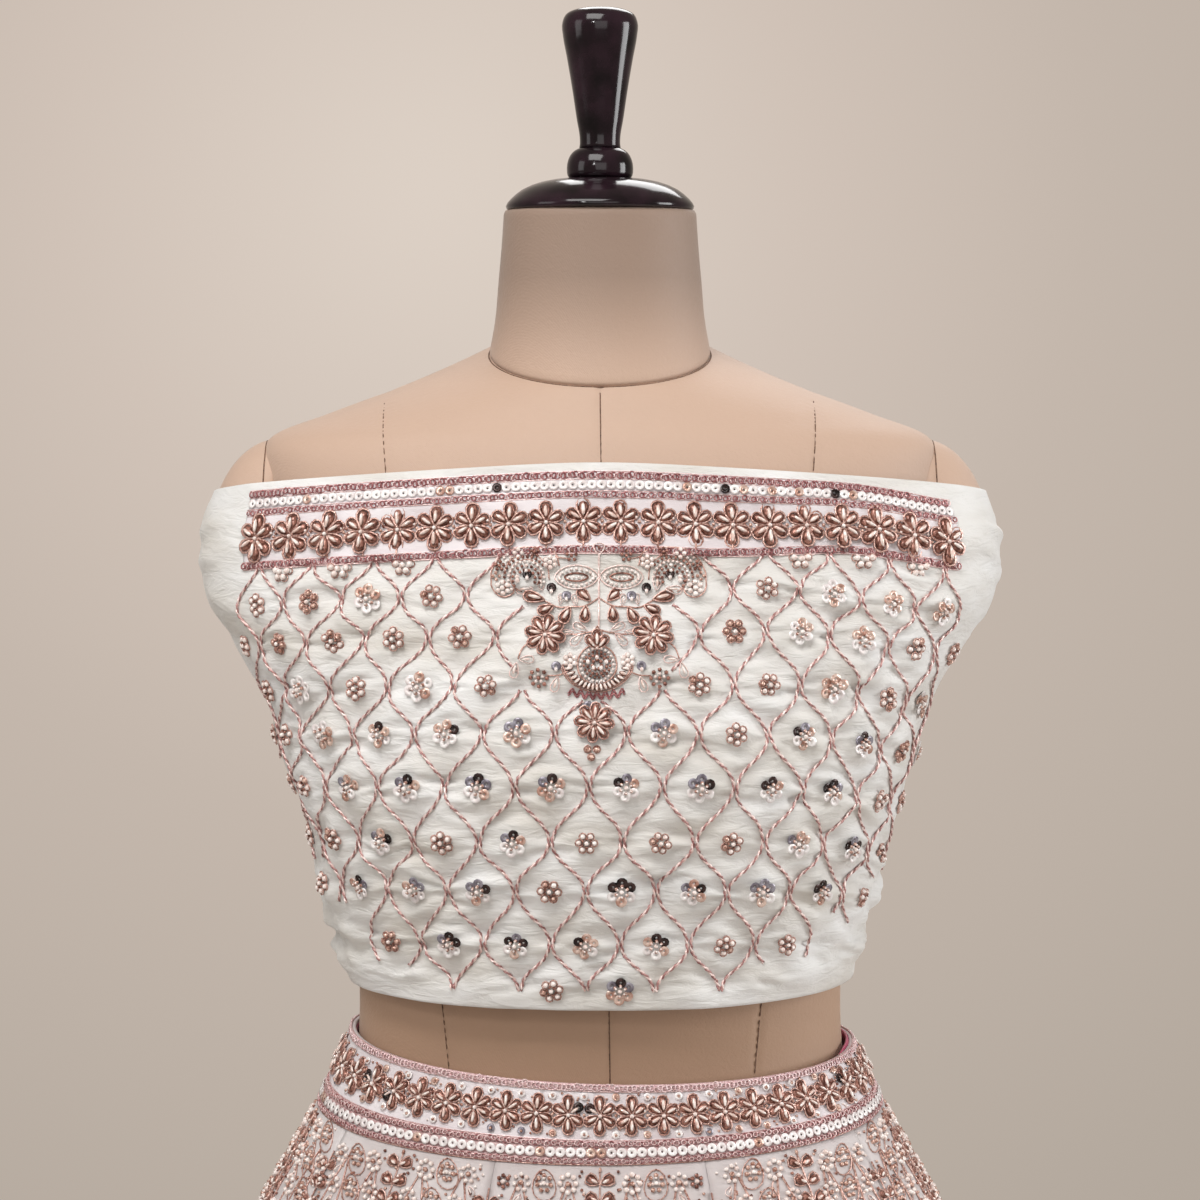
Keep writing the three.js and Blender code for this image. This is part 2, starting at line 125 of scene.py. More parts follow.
# Place along the blouse piece, to each side, of the middle of an arm cap
CAP_PLACE = 258.0
FORM_COLUMNS = 320
# Rows of the form's cover, as first ring, last ring and how many: close together where it shows
FORM_LOWER_ROWS = ((0, 5.6, 8), (5.6, 7.2, 12), (7.2, 12.6, 12))
FORM_TOP_ROWS = (12.6, 17, 30)
# Heights between which the form's seams show, at the waist and at the chest, and their stitches
WAIST_SEAMS = (1020.0, 1094.0)
CHEST_SEAMS = (1346.0, 1396.0)
CHEST_STITCHES = (1346.0, 1398.0)
STITCH_PITCH = 4.3

# Camera: 1.7 m in front at eye height, tipped down until the photo's middle is at the bust
CAMERA_DISTANCE = 1.7
CAMERA_HEIGHT = 1.43
CAMERA_PITCH = math.radians(4.624)
CAMERA_LENS = 93.03
SENSOR = 36.0
FLOOR_RADIUS = 2900.0
GLOW_DIRECTION = (-0.052, 0.997, 0.052)
# Lights, all turned to the bust: name, place, width and height, power and colour
BUST = (0, 0, 1.25)
LIGHTS = (
    ("overhead", (-0.5, -1.3, 3.0), (1.5, 1.1), 40, (1, 0.985, 0.965)),
    ("front", (0.2, -3.3, 1.9), (2.2, 1.6), 17, (1, 0.99, 0.98)),
    ("left", (-2.4, -0.9, 1.9), (1.0, 1.4), 9, (1, 1, 1)),
    ("right", (2.6, -0.15, 1.55), (1.0, 1.4), 40, (0.98, 0.99, 1)),
    ("behind", (0.3, 1.6, 2.8), (1.2, 0.9), 14, (1, 1, 1)),
    ("sparkle", (-0.7, -1.9, 2.1), (0.12, 0.12), 4, (1, 1, 1)),
)
# Backdrop's colour at degrees away from the middle of its glow
BACKDROP = (
    (0, (223, 211, 200)),
    (7, (208, 194, 183)),
    (12, (196, 183, 172)),
    (22, (180, 169, 158)),
    (60, (140, 132, 124)),
    (180, (128, 122, 116)),
)


def ring_table(*rows):
    """Columns of a table of rings, lowest first: height, half-width, front, back, squareness"""
    columns = np.array(sorted(rows), float).T
    return dict(zip(("z", "side", "front", "back", "square"), columns))


BLOUSE_RINGS = ring_table(
    (1372, 205, 85, 94, 2.1),
    (1352, 212, 91, 100, 2.1),
    (1336, 217, 97, 105, 2.1),
    (1314, 218.5, 105, 110, 2.1),
    (1292, 215, 113, 113, 2.1),
    (1275, 204.5, 118, 113, 2.15),
    (1243, 184, 124, 110, 2.25),
    (1215, 175.5, 127, 106, 2.3),
    (1182, 164.5, 126, 102, 2.3),
    (1148, 153.5, 121, 99, 2.3),
    (1120, 146.5, 115, 98, 2.25),
    (1087, 139, 110, 98, 2.2),
)
BAND_RINGS = ring_table(
    (1062, 136.5, 95, 92, 2),
    (1053, 138.5, 97, 94, 2),
    (1036, 146, 102.5, 100, 2),
    (1016, 156, 110, 107, 2),
    (1006, 160.5, 113.5, 111, 2),
)
SKIRT_RINGS = ring_table(
    (1020, 154, 107.5, 105, 2),
    (1006, 161, 113.5, 112, 2),
    (956, 190, 139, 137, 2),
    (860, 241, 188, 190, 2),
    (700, 318, 264, 272, 2),
    (450, 425, 375, 388, 2),
    (200, 520, 478, 496, 2),
    (15, 588, 552, 572, 2),
)

# Stacks of rings of the form: height, half-width, front, back, squareness, and how much lower
# the ring lies in front than at its sides
TORSO_RINGS = np.array([
    (800, 168, 98, 112, 2.2, 0),
    (835, 175, 104, 119, 2.2, 0),
    (880, 176, 105, 121, 2.2, 0),
    (940, 164, 101, 114, 2.2, 0),
    (1000, 146, 94, 99, 2.1, 0),
    (1030, 137.5, 90, 91, 2.05, 0),
    (1058, 133.6, 88.5, 86, 2, 0),
    (1100, 134.5, 92, 86, 2, 0),
    (1150, 142, 106, 90, 2.1, 0),
    (1195, 150, 117, 96, 2.2, 0),
    (1240, 160, 114, 102, 2.2, 0),
    (1285, 172, 105, 105, 2.1, 0),
    (1325, 180, 95, 101, 2.1, 0),
    (1358, 184, 86, 93, 2.1, 0),
    (1381, 181, 77, 84, 2, 0),
    (1395, 148, 70, 77, 2, 3),
    (1409, 109, 65, 69, 2, 8),
    (NECK_SEAM, 61, 60, 53, 2, NECK_TILT),
])
NECK_RINGS = np.array([
    (NECK_SEAM + SEAM_GAP, 60.6, 59.6, 52.6, 2, NECK_TILT),
    (1446, 57.2, 54, 50, 2, 9),
    (1466, 55.4, 51.5, 49.5, 2, 3),
    (1486, 53.6, 50, 48.5, 2, 0),
    (NECK_TOP, 52.3, 49.5, 48, 2, 0),
])

# Soft rolls of the blouse piece: angle from the front, height, reach, half-height, out
BLOUSE_ROLLS = (
    (-88, 1136, 26, 9, 4.5),
    (-84, 1118, 30, 8, 4.0),
    (-80, 1100, 34, 8, 3.5),
    (86, 1139, 30, 9, 4.0),
    (84, 1108, 26, 8, 3.5),
    (178, 1124, 60, 10, 3.0),
)
# Flutes of the skirt: angle from the front, half-spread, depth at the hem
SKIRT_FLUTES = (
    (2, 11, 20),
    (29, 10, 26),
    (57, 11, 18),
    (83, 10, 28),
    (110, 11, 21),
    (138, 10, 26),
    (164, 10, 17),
    (190, 10, 25),
    (217, 11, 20),
    (244, 10, 27),
    (270, 10, 18),
    (296, 11, 27),
    (324, 10, 22),
    (347, 8, 14),
)
# Creases of the blouse piece: place along and up the cloth, length, width, turn in degrees from
# level, and height (a trough is negative)
BLOUSE_CREASES = (
    (-222, 1322, 46, 7, 24, 1.6),
    (-236, 1306, 60, 8, 14, -1.8),
    (-214, 1291, 44, 6, 8, 1.5),
    (-228, 1276, 52, 7, -6, -2.0),
    (-205, 1264, 40, 6, -20, 1.8),
    (-190, 1250, 44, 6, -38, -2.4),
    (-182, 1236, 40, 5, -48, 2.0),
    (-176, 1216, 46, 6, -60, -2.0),
    (-186, 1196, 40, 7, -66, 1.8),
    (-198, 1146, 62, 6, -12, 2.8),
    (-194, 1134, 58, 4.5, -12, -2.4),
    (-190, 1123, 62, 6, -10, 2.6),
    (-186, 1112, 56, 4.5, -10, -2.2),
    (-180, 1102, 60, 5.5, -8, 2.2),
    (-150, 1158, 52, 7, 18, 1.6),
    (-128, 1122, 60, 6, 12, -1.5),
    (-112, 1106, 66, 6, 4, 1.1),
    (-60, 1101, 54, 5, -4, -0.9),
    (246, 1330, 56, 3.2, -16, 1.6),
    (240, 1317, 50, 4, -24, 1.9),
    (264, 1306, 60, 5, -6, 1.9),
    (232, 1296, 44, 4, -32, 1.7),
    (250, 1284, 50, 5, 12, 1.7),
    (-244, 1332, 52, 4, 14, 1.6),
    (-258, 1314, 56, 5, 6, 1.8),
    (-238, 1297, 46, 5, -8, 1.6),
    (216, 1325, 44, 7, -18, 1.6),
    (228, 1312, 56, 8, -12, -1.9),
    (212, 1296, 42, 6, -22, 1.7),
    (222, 1280, 48, 7, 4, -1.8),
    (204, 1262, 44, 6, 16, 1.8),
    (192, 1243, 40, 6, 34, -2.2),
    (178, 1226, 42, 6, 46, 1.8),
    (200, 1158, 60, 6.5, 14, 2.6),
    (196, 1145, 56, 4.5, 14, -2.2),
    (190, 1130, 60, 6.5, 12, 2.4),
    (182, 1116, 54, 4.5, 10, -2.0),
    (166, 1190, 50, 7, 58, -1.8),
    (158, 1168, 44, 7, -20, 1.7),
    (150, 1150, 58, 6, -12, -2.2),
    (136, 1128, 62, 7, -8, 1.8),
    (122, 1112, 60, 6, -4, -1.6),
    (96, 1100, 50, 5, 3, 0.9),
    (300, 1300, 60, 8, -10, 1.7),
    (330, 1262, 66, 8, 8, -1.9),
    (-310, 1290, 62, 8, 12, 1.7),
    (-340, 1250, 60, 8, -8, -1.8),
    (280, 1210, 56, 8, 22, 1.6),
    (-276, 1198, 52, 8, -24, -1.6),
    (310, 1140, 70, 8, 4, 1.8),
    (-300, 1146, 66, 8, -6, 1.8),
    (410, 1180, 40, 8, 72, -1.3),
    (-420, 1200, 44, 8, -76, -1.3),
)
# Layers folded down at the top of the right arm: height of the fold and how far it steps in
ARM_STEPS = ((1346.5, 2.2), (1338.5, 2.0))

# Rows of the corded lattice, downwards: height, middle and pitch
LATTICE_ROWS = np.array([
    (1326.0, 1.0, 34.4),
    (1305.0, 0.0, 34.6),
    (1284.0, -1.5, 35.2),
    (1259.0, -3.5, 36.2),
    (1235.0, -4.8, 37.0),
    (1207.0, -5.8, 37.7),
    (1178.0, -6.8, 37.3),
    (1152.0, -7.4, 36.7),
    (1122.5, -7.4, 36.0),
    (1098.0, -7.4, 35.2),
])
# How far from the middle the lattice reaches at each row
LATTICE_REACH = np.array([196.0, 206, 214, 222, 224, 216, 198, 166, 124, 84])
LATTICE_BOTTOM = 9.14
# Rows between which the cords nearest the middle are left out for the central motif:
# cord counted from the middle, first row and last row of each stretch
CORD_GAPS = {0: ((3.35, 9.2),), 1: ((3.12, 9.2),), 2: ((1.3, 2.72), (3.12, 9.2))}
# First flower counted from the middle in each row, in half pitches
FLOWER_FROM = (6, 5, 4, 3, 2, 1, 0, 1, 0, 1)


def smooth_between(t, start, end, leave, arrive):
    """Smooth curve from start to end, with the slopes at its ends, for t from 0 to 1"""
    return (
        start * (2 * t**3 - 3 * t**2 + 1) + end * (3 * t**2 - 2 * t**3)
        + leave * (t**3 - 2 * t**2 + t) + arrive * (t**3 - t**2)
    )


def stacked(*parts):
    return np.stack(np.broadcast_arrays(*parts), axis=-1)


def unit(vectors):
    return vectors / np.linalg.norm(vectors, axis=-1, keepdims=True)


def run_along(points):
    """Distance along a path at each of its points"""
    return np.concatenate([[0], np.cumsum(np.linalg.norm(np.diff(points, axis=0), axis=1))])


def column(table, key, z):
    """Smooth curve through one column of a table of rings"""
    heights, values = table["z"], table[key]
    z = np.clip(np.asarray(z, float), heights[0], heights[-1])
    last = len(heights) - 1
    i = np.clip(np.searchsorted(heights, z) - 1, 0, last - 1)
    low = np.maximum(np.arange(last + 1) - 1, 0)
    high = np.minimum(np.arange(last + 1) + 1, last)
    slope = (values[high] - values[low]) / (heights[high] - heights[low])
    step = heights[i + 1] - heights[i]
    t = (z - heights[i]) / step
    return smooth_between(t, values[i], values[i + 1], slope[i] * step, slope[i + 1] * step)


def ring_point(table, angle, z, out=0.0):
    """Point on a ring at an angle from the front (towards +X), moved out"""
    power = 2 / column(table, "square", z)
    s, c = np.sin(angle), np.cos(angle)
    depth = np.where(c > 0, column(table, "front", z), column(table, "back", z)) + out
    x = (column(table, "side", z) + out) * np.sign(s) * np.abs(s) ** power
    y = -depth * np.sign(c) * np.abs(c) ** power
    return stacked(x, y, z)


def smooth_step(low, high, value):
    t = np.clip((value - low) / (high - low), 0, 1)
    return t * t * (3 - 2 * t)


def angle_between(angle, degrees):
    away = angle - math.radians(degrees)
    return np.arctan2(np.sin(away), np.cos(away))


# Shapes of the cloth
def blouse_top(angle):
    """Top edge: falls evenly from a rounded middle to the sides, then runs level"""
    away = np.hypot(angle, BLOUSE_TOP_ROUND) / (PI / 2)
    return BLOUSE_TOP_SIDE + BLOUSE_TOP_RISE * np.maximum(0, 1 - away)


def border_height(angle, drop):
    """Height of the border at a drop from its top edge: its right end sags and is narrower"""
    sag = BORDER_SAG * smooth_step(0.6, 1.05, angle)
    narrow = 1 - BORDER_NARROWING * smooth_step(0.2, 0.65, angle)
    return blouse_top(angle) - BORDER_EDGE - sag - drop * narrow


def blouse_shape(angle, z, out=0.0):
    rolls = 0.0
    for degrees, height, reach, half, proud in BLOUSE_ROLLS:
        round_body = np.exp(-((angle_between(angle, degrees) / math.radians(reach)) ** 2))
        rolls = rolls + proud * round_body * np.exp(-(((z - height) / half) ** 2))
    lift = OVERLAP_LIFT * smooth_step(PI - OVERLAP_FROM, PI - OVERLAP_FULL, angle)
    return ring_point(BLOUSE_RINGS, angle, z, out + lift + rolls)


def band_top(angle):
    dip = BAND_TOP_DIP * np.maximum(0, np.cos(angle))
    return BAND_TOP - dip - BAND_TOP_LEAN * np.sin(angle)


def band_bottom(angle):
    return BAND_BOTTOM - BAND_BOTTOM_DIP * np.maximum(0, np.cos(angle))


def band_shape(angle, z, out=0.0):
    return ring_point(BAND_RINGS, angle, z, out)


def skirt_top(angle):
    return band_bottom(angle) - SEAM_GAP


def skirt_shape(angle, z, out=0.0):
    fall = 1 - smooth_step(HEM_Z, FOLD_START, z)
    flutes = 0.0
    for degrees, spread, proud in SKIRT_FLUTES:
        round_body = np.exp(-((angle_between(angle, degrees) / math.radians(spread)) ** 2))
        flutes = flutes + proud * fall * round_body
    return ring_point(SKIRT_RINGS, angle, z, out + flutes)


class Noise:
    """Smooth random heights on a grid of cells, the same on each run"""

    def __init__(self, cell_s, cell_z, size=256):
        self.cell = (cell_s, cell_z)
        self.values = rng.uniform(-1, 1, (size, size))

    def __call__(self, s, z):
        size = self.values.shape[0]
        a, b = s / self.cell[0], z / self.cell[1]
        i, j = np.floor(a).astype(int), np.floor(b).astype(int)
        u, v = a - i, b - j
        u, v = u * u * (3 - 2 * u), v * v * (3 - 2 * v)
        i0, j0, i1, j1 = i % size, j % size, (i + 1) % size, (j + 1) % size
        low = self.values[i0, j0] * (1 - u) + self.values[i1, j0] * u
        high = self.values[i0, j1] * (1 - u) + self.values[i1, j1] * u
        return low * (1 - v) + high * v


PUCKER = Noise(13.0, 4.6)
SHARP = Noise(18.0, 6.2)
LONG = Noise(34.0, 8.4)
BROAD = Noise(48.0, 17.0)
RIPPLE = Noise(60.0, 60.0)
WOBBLE = Noise(9.0, 9.0)


class Cloth:
    """Surface whose places are arc length from the front, towards +X, and height"""

    def __init__(self, table, shape, relief=None):
        self.shape = shape
        self.relief = relief
        self.z = np.linspace(table["z"][0], table["z"][-1], 90)
        self.angle = np.linspace(-PI - 0.25, PI + 0.25, 1601)
        ring = ring_point(table, self.angle[None, :], self.z[:, None])
        steps = np.linalg.norm(np.diff(ring[..., :2], axis=1), axis=2)
        arc = np.concatenate([np.zeros((len(self.z), 1)), np.cumsum(steps, axis=1)], axis=1)
        self.arc = arc - arc[:, [len(self.angle) // 2]]
        self.reach = self.arc[:, -1].max()
        self.s = np.linspace(-self.reach, self.reach, 2001)
        self.turn = np.array([np.interp(self.s, row, self.angle) for row in self.arc])

    def _mix(self, grid, across, low, high, z):
        z = np.asarray(z, float)
        b = np.clip((z - self.z[0]) / (self.z[-1] - self.z[0]), 0, 1) * (len(self.z) - 1)
        a = np.clip((across - low) / (high - low), 0, 1) * (grid.shape[1] - 1)
        a, b = np.broadcast_arrays(a, b)
        i = np.minimum(a.astype(int), grid.shape[1] - 2)
        j = np.minimum(b.astype(int), grid.shape[0] - 2)
        u, v = a - i, b - j
        under = grid[j, i] * (1 - u) + grid[j, i + 1] * u
        over = grid[j + 1, i] * (1 - u) + grid[j + 1, i + 1] * u
        return under * (1 - v) + over * v

    def angle_at(self, s, z):
        return self._mix(self.turn, s, -self.reach, self.reach, z)

    def arc_at(self, angle, z):
        return self._mix(self.arc, angle, self.angle[0], self.angle[-1], z)

    def point(self, s, z, out=0.0):
        if self.relief is not None:
            out = out + self.relief(s, z)
        return self.shape(self.angle_at(s, z), z, out)

    def frames(self, s, z, out=0.0):
        """Places and their three directions: along the cloth, up it and out of it"""
        s, z, out = np.broadcast_arrays(*(np.asarray(v, float) for v in (s, z, out)))
        origin = self.point(s, z, out)
        bare = lambda ds, dz: self.shape(self.angle_at(s + ds, z + dz), z + dz, out)
        along = unit(bare(1.0, 0) - bare(-1.0, 0))
        up = bare(0, 1.0) - bare(0, -1.0)
        up = unit(up - along * np.sum(along * up, axis=-1, keepdims=True))
        return origin, np.stack([along, up, np.cross(along, up)], axis=-2)


def lattice_row(z):
    """Row of the lattice at a height, as a number that grows downwards"""
    return np.interp(-np.asarray(z, float), -LATTICE_ROWS[:, 0], np.arange(len(LATTICE_ROWS)))


def lattice_height(row):
    return np.interp(row, np.arange(len(LATTICE_ROWS)), LATTICE_ROWS[:, 0])


def lattice_grid(row):
    """Middle and pitch of the lattice at a row"""
    rows = np.arange(len(LATTICE_ROWS))
    return np.interp(row, rows, LATTICE_ROWS[:, 1]), np.interp(row, rows, LATTICE_ROWS[:, 2])


def lattice_sag(s, z):
    """How much lower a row of the lattice lies away from the middle, where its height is z there"""
    s = np.asarray(s, float)
    high = smooth_step(1235, 1290, z)
    lift = 5.0 * high * np.exp(-(((s - 100) / 48) ** 2))
    slump = 6.0 * (1 - high) * smooth_step(110, 175, s)
    return np.where(s < 0, 0.00028, 0.00038) * s**2 - lift + slump


def lattice_cord(k, row):
    """Place along the cloth of cord k at a row: neighbours meet, side by side, at each row"""
    middle, pitch = lattice_grid(row)
    wave = np.cos(PI * np.asarray(row))
    wave = wave * (1 + 0.18 * (1 - wave**2))
    side = 1 if k % 2 == 0 else -1
    return middle + (k + 0.5) * pitch / 2 + side * (pitch / 4 - 0.8) * wave


def lattice_pillow(s, z):
    """1 in the middle of a cell of the lattice and 0 at its cords"""
    row = lattice_row(z + lattice_sag(s, z))
    middle, pitch = lattice_grid(row)
    a = 2 * PI * (s - middle) / pitch
    b = PI * row
    return 0.5 + 0.5 * np.cos(a + b) * 0.5 + 0.25 * np.cos(a - b)


def lattice_fan(s, z):
    """Shift of the puckers that gathers them where the cords beside a flower meet"""
    row = lattice_row(z + lattice_sag(s, z))
    nearest = np.round(row)
    middle, pitch = lattice_grid(row)
    beside = 0.5 - 0.5 * np.cos(2 * PI * (s - middle) / pitch + PI * nearest)
    return -3.4 * beside * np.sin(2 * PI * row)


def blouse_relief(s, z):
    s, z = np.broadcast_arrays(np.asarray(s, float), np.asarray(z, float))
    height = np.zeros(s.shape)
    for place, level, length, width, degrees, proud in BLOUSE_CREASES:
        c, n = math.cos(math.radians(degrees)), math.sin(math.radians(degrees))
        along = (s - place) * c + (z - level) * n
        across = (z - level) * c - (s - place) * n
        height += proud * np.exp(-((along / (length / 2)) ** 2) - (across / width) ** 2)
    for level, step in ARM_STEPS:
        arm = smooth_step(186, 216, s) * (1 - smooth_step(320, 370, s))
        under = level - 6 * smooth_step(205, 260, s) - z
        height += step * arm * smooth_step(-0.7, 0.7, under) * np.exp(-((under / 15) ** 2))
    worked = 1 - smooth_step(*WORKED_SIDE, np.abs(s))
    worked = worked * smooth_step(*WORKED_HEM, z) * (1 - smooth_step(*WORKED_TOP, z))
    plain = 1 - worked
    # Puckers run level in the middle and droop towards the sides
    level = z + 0.0007 * s**2 + 2.4 * BROAD(s * 1.3, z) + lattice_fan(s, z)
    pillow = lattice_pillow(s, z)
    drawn = 1.7 * PUCKER(s, level) - 2.8 * np.abs(SHARP(s, level)) + 1.6 * LONG(s, level)
    height += worked * (2.1 * pillow + (1 - 0.3 * pillow) * drawn)
    fanned = z + 0.3 * np.abs(s) - 0.0006 * s**2
    height += plain * (1.8 * BROAD(s, fanned) - 1.3 * np.abs(SHARP(s * 0.5, fanned * 0.4)))
    edge = smooth_step(1087.5, 1089.5, z) * (1 - smooth_step(1095, 1097, z))
    height += 0.35 * edge
    # The cloth rests on the arm caps and, near its top, on the chest and back
    on_cap = np.exp(-(((np.abs(s) - CAP_PLACE) / 58) ** 6) - ((z - CAP_CENTRE_Z) / 50) ** 6)
    lowest = -0.2 - 6 * (1 - on_cap) + 4.6 * (1 - on_cap) * smooth_step(1322, 1340, z)
    return lowest + np.logaddexp(0, 4 * (height - lowest)) / 4


def skirt_relief(s, z):
    return 0.8 * RIPPLE(s, z) * smooth_step(1005, 960, z)


BLOUSE = Cloth(BLOUSE_RINGS, blouse_shape, blouse_relief)
BAND = Cloth(BAND_RINGS, band_shape)
SKIRT = Cloth(SKIRT_RINGS, skirt_shape, skirt_relief)


# Materials
def srgb(red, green, blue):
    """Colour as the screen shows it, from 0 to 255, turned to linear light"""
    values = [v / 255 for v in (red, green, blue)]
    linear = [v / 12.92 if v <= 0.04045 else ((v + 0.055) / 1.055) ** 2.4 for v in values]
    return (*linear, 1.0)


class Shader:
    """Node material with one main shader, and short calls for what feeds it"""

    def __init__(self, name, color, **sockets):
        self.material = bpy.data.materials.new(name)
        self.material.use_nodes = True
        self.nodes = self.material.node_tree.nodes
        self.links = self.material.node_tree.links
        self.main = self.nodes["Principled BSDF"]
        self.main.inputs["Base Color"].default_value = color
        for socket, value in sockets.items():
            self.main.inputs[socket.replace("_", " ")].default_value = value

    def place(self, kind="Object", scale=(1, 1, 1)):
        """Coordinates of a kind, such as UV or Object, stretched along each direction"""
        source = self.nodes.new("ShaderNodeTexCoord")
        mapping = self.nodes.new("ShaderNodeMapping")
        mapping.inputs["Scale"].default_value = scale
        self.links.new(source.outputs[kind], mapping.inputs["Vector"])
        return mapping.outputs["Vector"]

    def noise(self, place, scale, detail=3.0, distortion=0.0):
        node = self.nodes.new("ShaderNodeTexNoise")
        node.inputs["Scale"].default_value = scale
        node.inputs["Detail"].default_value = detail
        node.inputs["Distortion"].default_value = distortion
        self.links.new(place, node.inputs["Vector"])
        return node.outputs["Fac"]

    def wave(self, place, scale, direction, distortion=0.0):
        node = self.nodes.new("ShaderNodeTexWave")
        node.bands_direction = direction
        node.inputs["Scale"].default_value = scale
        node.inputs["Distortion"].default_value = distortion
        self.links.new(place, node.inputs["Vector"])
        return node.outputs["Fac"]

    def ramp(self, value, *stops):
        node = self.nodes.new("ShaderNodeValToRGB")
        while len(node.color_ramp.elements) < len(stops):
            node.color_ramp.elements.new(0.5)
        for element, (position, color) in zip(node.color_ramp.elements, stops):
            element.position = position
            element.color = color
        self.links.new(value, node.inputs["Fac"])
        return node.outputs["Color"]

    def color(self, output):
        self.links.new(output, self.main.inputs["Base Color"])

    def range(self, value, low, high, socket):
        node = self.nodes.new("ShaderNodeMapRange")
        node.inputs["To Min"].default_value = low
        node.inputs["To Max"].default_value = high
        self.links.new(value, node.inputs["Value"])
        self.links.new(node.outputs["Result"], self.main.inputs[socket])

    def bump(self, *layers):
        """Layers of relief, each a height output with its strength and depth in millimetres"""
        previous = None
        for height, strength, depth in layers:
            node = self.nodes.new("ShaderNodeBump")
            node.inputs["Strength"].default_value = strength
            node.inputs["Distance"].default_value = depth * MM
            self.links.new(height, node.inputs["Height"])
            if previous is not None:
                self.links.new(previous, node.inputs["Normal"])
            previous = node.outputs["Normal"]
        self.links.new(previous, self.main.inputs["Normal"])


def silk(name, light, shade, pucker):
    """Raw silk: slubs along the cloth, a fine weave and drawn puckers"""
    shader = Shader(name, light, Roughness=0.62, Sheen_Weight=0.25, Sheen_Roughness=0.4)
    slub = shader.noise(shader.place("UV", (190, 560, 1)), 1.0, 4.0, 0.8)
    broad = shader.noise(shader.place("UV", (14, 30, 1)), 1.0, 3.0)
    weave = shader.noise(shader.place("UV", (1500, 1500, 1)), 1.0, 1.0)
    drawn = shader.noise(shader.place("UV", (58, 190, 1)), 1.0, 3.0, 1.4)
    shader.color(shader.ramp(broad, (0.3, shade), (0.62, light)))
    shader.range(slub, 0.5, 0.72, "Roughness")
    shader.bump((drawn, pucker, 1.7), (slub, 0.4, 0.4), (weave, 0.3, 0.2))
    return shader.material


def satin(name, color, dark):
    shader = Shader(name, color, Roughness=0.35, Sheen_Weight=0.2)
    fine = shader.noise(shader.place("UV", (900, 120, 1)), 1.0, 3.0)
    shader.color(shader.ramp(fine, (0.35, dark), (0.65, color)))
    shader.bump((fine, 0.3, 0.2))
    return shader.material


def linen(name):
    """Cover of the form: fine ribs with a soft leathery grain, and painted shade by height: darker and
    warmer at the waist and darker on the neck than over the chest
    """
    # Painted shade by height: the light colour over the chest where the top light falls, a darker warmer
    # one at the waist under the bust, a darker one on the upright neck
    light = srgb(192, 164, 145)
    painted_waist_shade = srgb(176, 143, 118)
    neck = srgb(146, 124, 109)
    shader = Shader(name, light, Roughness=0.62, Sheen_Weight=0.15)
    grain = shader.noise(shader.place(), 420.0, 3.0, 0.6)
    rib = shader.wave(shader.place("Object", (1, 1, 0.35)), 700.0, "DIAGONAL", 4.0)
    split = shader.nodes.new("ShaderNodeSeparateXYZ")
    shader.links.new(shader.place(), split.inputs["Vector"])
    level = shader.nodes.new("ShaderNodeMapRange")
    level.inputs["From Min"].default_value = 1.06
    level.inputs["From Max"].default_value = 1.50
    shader.links.new(split.outputs["Z"], level.inputs["Value"])
    painted_shade_by_height = ((0.0, painted_waist_shade), (0.66, light), (0.8, light), (0.93, neck))
    shader.color(shader.ramp(level.outputs["Result"], *painted_shade_by_height))
    shader.range(grain, 0.52, 0.72, "Roughness")
    shader.bump((grain, 0.5, 0.5), (rib, 0.2, 0.15))
    return shader.material


def thread(name, color, dark, scale=900.0, **sockets):
    """Twisted metallic thread: light and dark along its lay"""
    shader = Shader(name, color, **{"Roughness": 0.38, "Metallic": 0.35, **sockets})
    lay = shader.noise(shader.place(), scale, 2.0)
    shader.color(shader.ramp(lay, (0.35, dark), (0.62, color)))
    shader.bump((lay, 0.4, 0.25))
    return shader.material


def bead(name, color, dark, scale=420.0, **sockets):
    """Polished bead whose colour drifts a little from one to the next"""
    shader = Shader(name, color, **{"Roughness": 0.16, **sockets})
    drift = shader.noise(shader.place(), scale, 1.0)
    shader.color(shader.ramp(drift, (0.38, dark), (0.6, color)))
    shader.range(drift, 0.1, 0.24, "Roughness")
    return shader.material


def lacquer(name, color):
    shader = Shader(name, color, Roughness=0.16, Specular_IOR_Level=0.3, Coat_Weight=0.12)
    haze = shader.noise(shader.place(), 60.0, 4.0)
    shader.range(haze, 0.08, 0.2, "Roughness")
    shader.color(shader.ramp(haze, (0.3, srgb(14, 9, 11)), (0.7, color)))
    return shader.material


def stand_paint(name):
    shader = Shader(name, srgb(52, 48, 46), Roughness=0.42, Metallic=0.3)
    orange_peel = shader.noise(shader.place(), 500.0, 2.0)
    worn = shader.noise(shader.place(), 18.0, 4.0)
    shader.color(shader.ramp(worn, (0.35, srgb(40, 36, 34)), (0.7, srgb(62, 57, 54))))
    shader.range(worn, 0.34, 0.52, "Roughness")
    shader.bump((orange_peel, 0.15, 0.1))
    return shader.material


def floor_paint(name):
    shader = Shader(name, srgb(216, 210, 203), Roughness=0.7)
    cloud = shader.noise(shader.place(), 1.2, 4.0)
    shader.color(shader.ramp(cloud, (0.3, srgb(208, 202, 195)), (0.7, srgb(222, 216, 209))))
    return shader.material


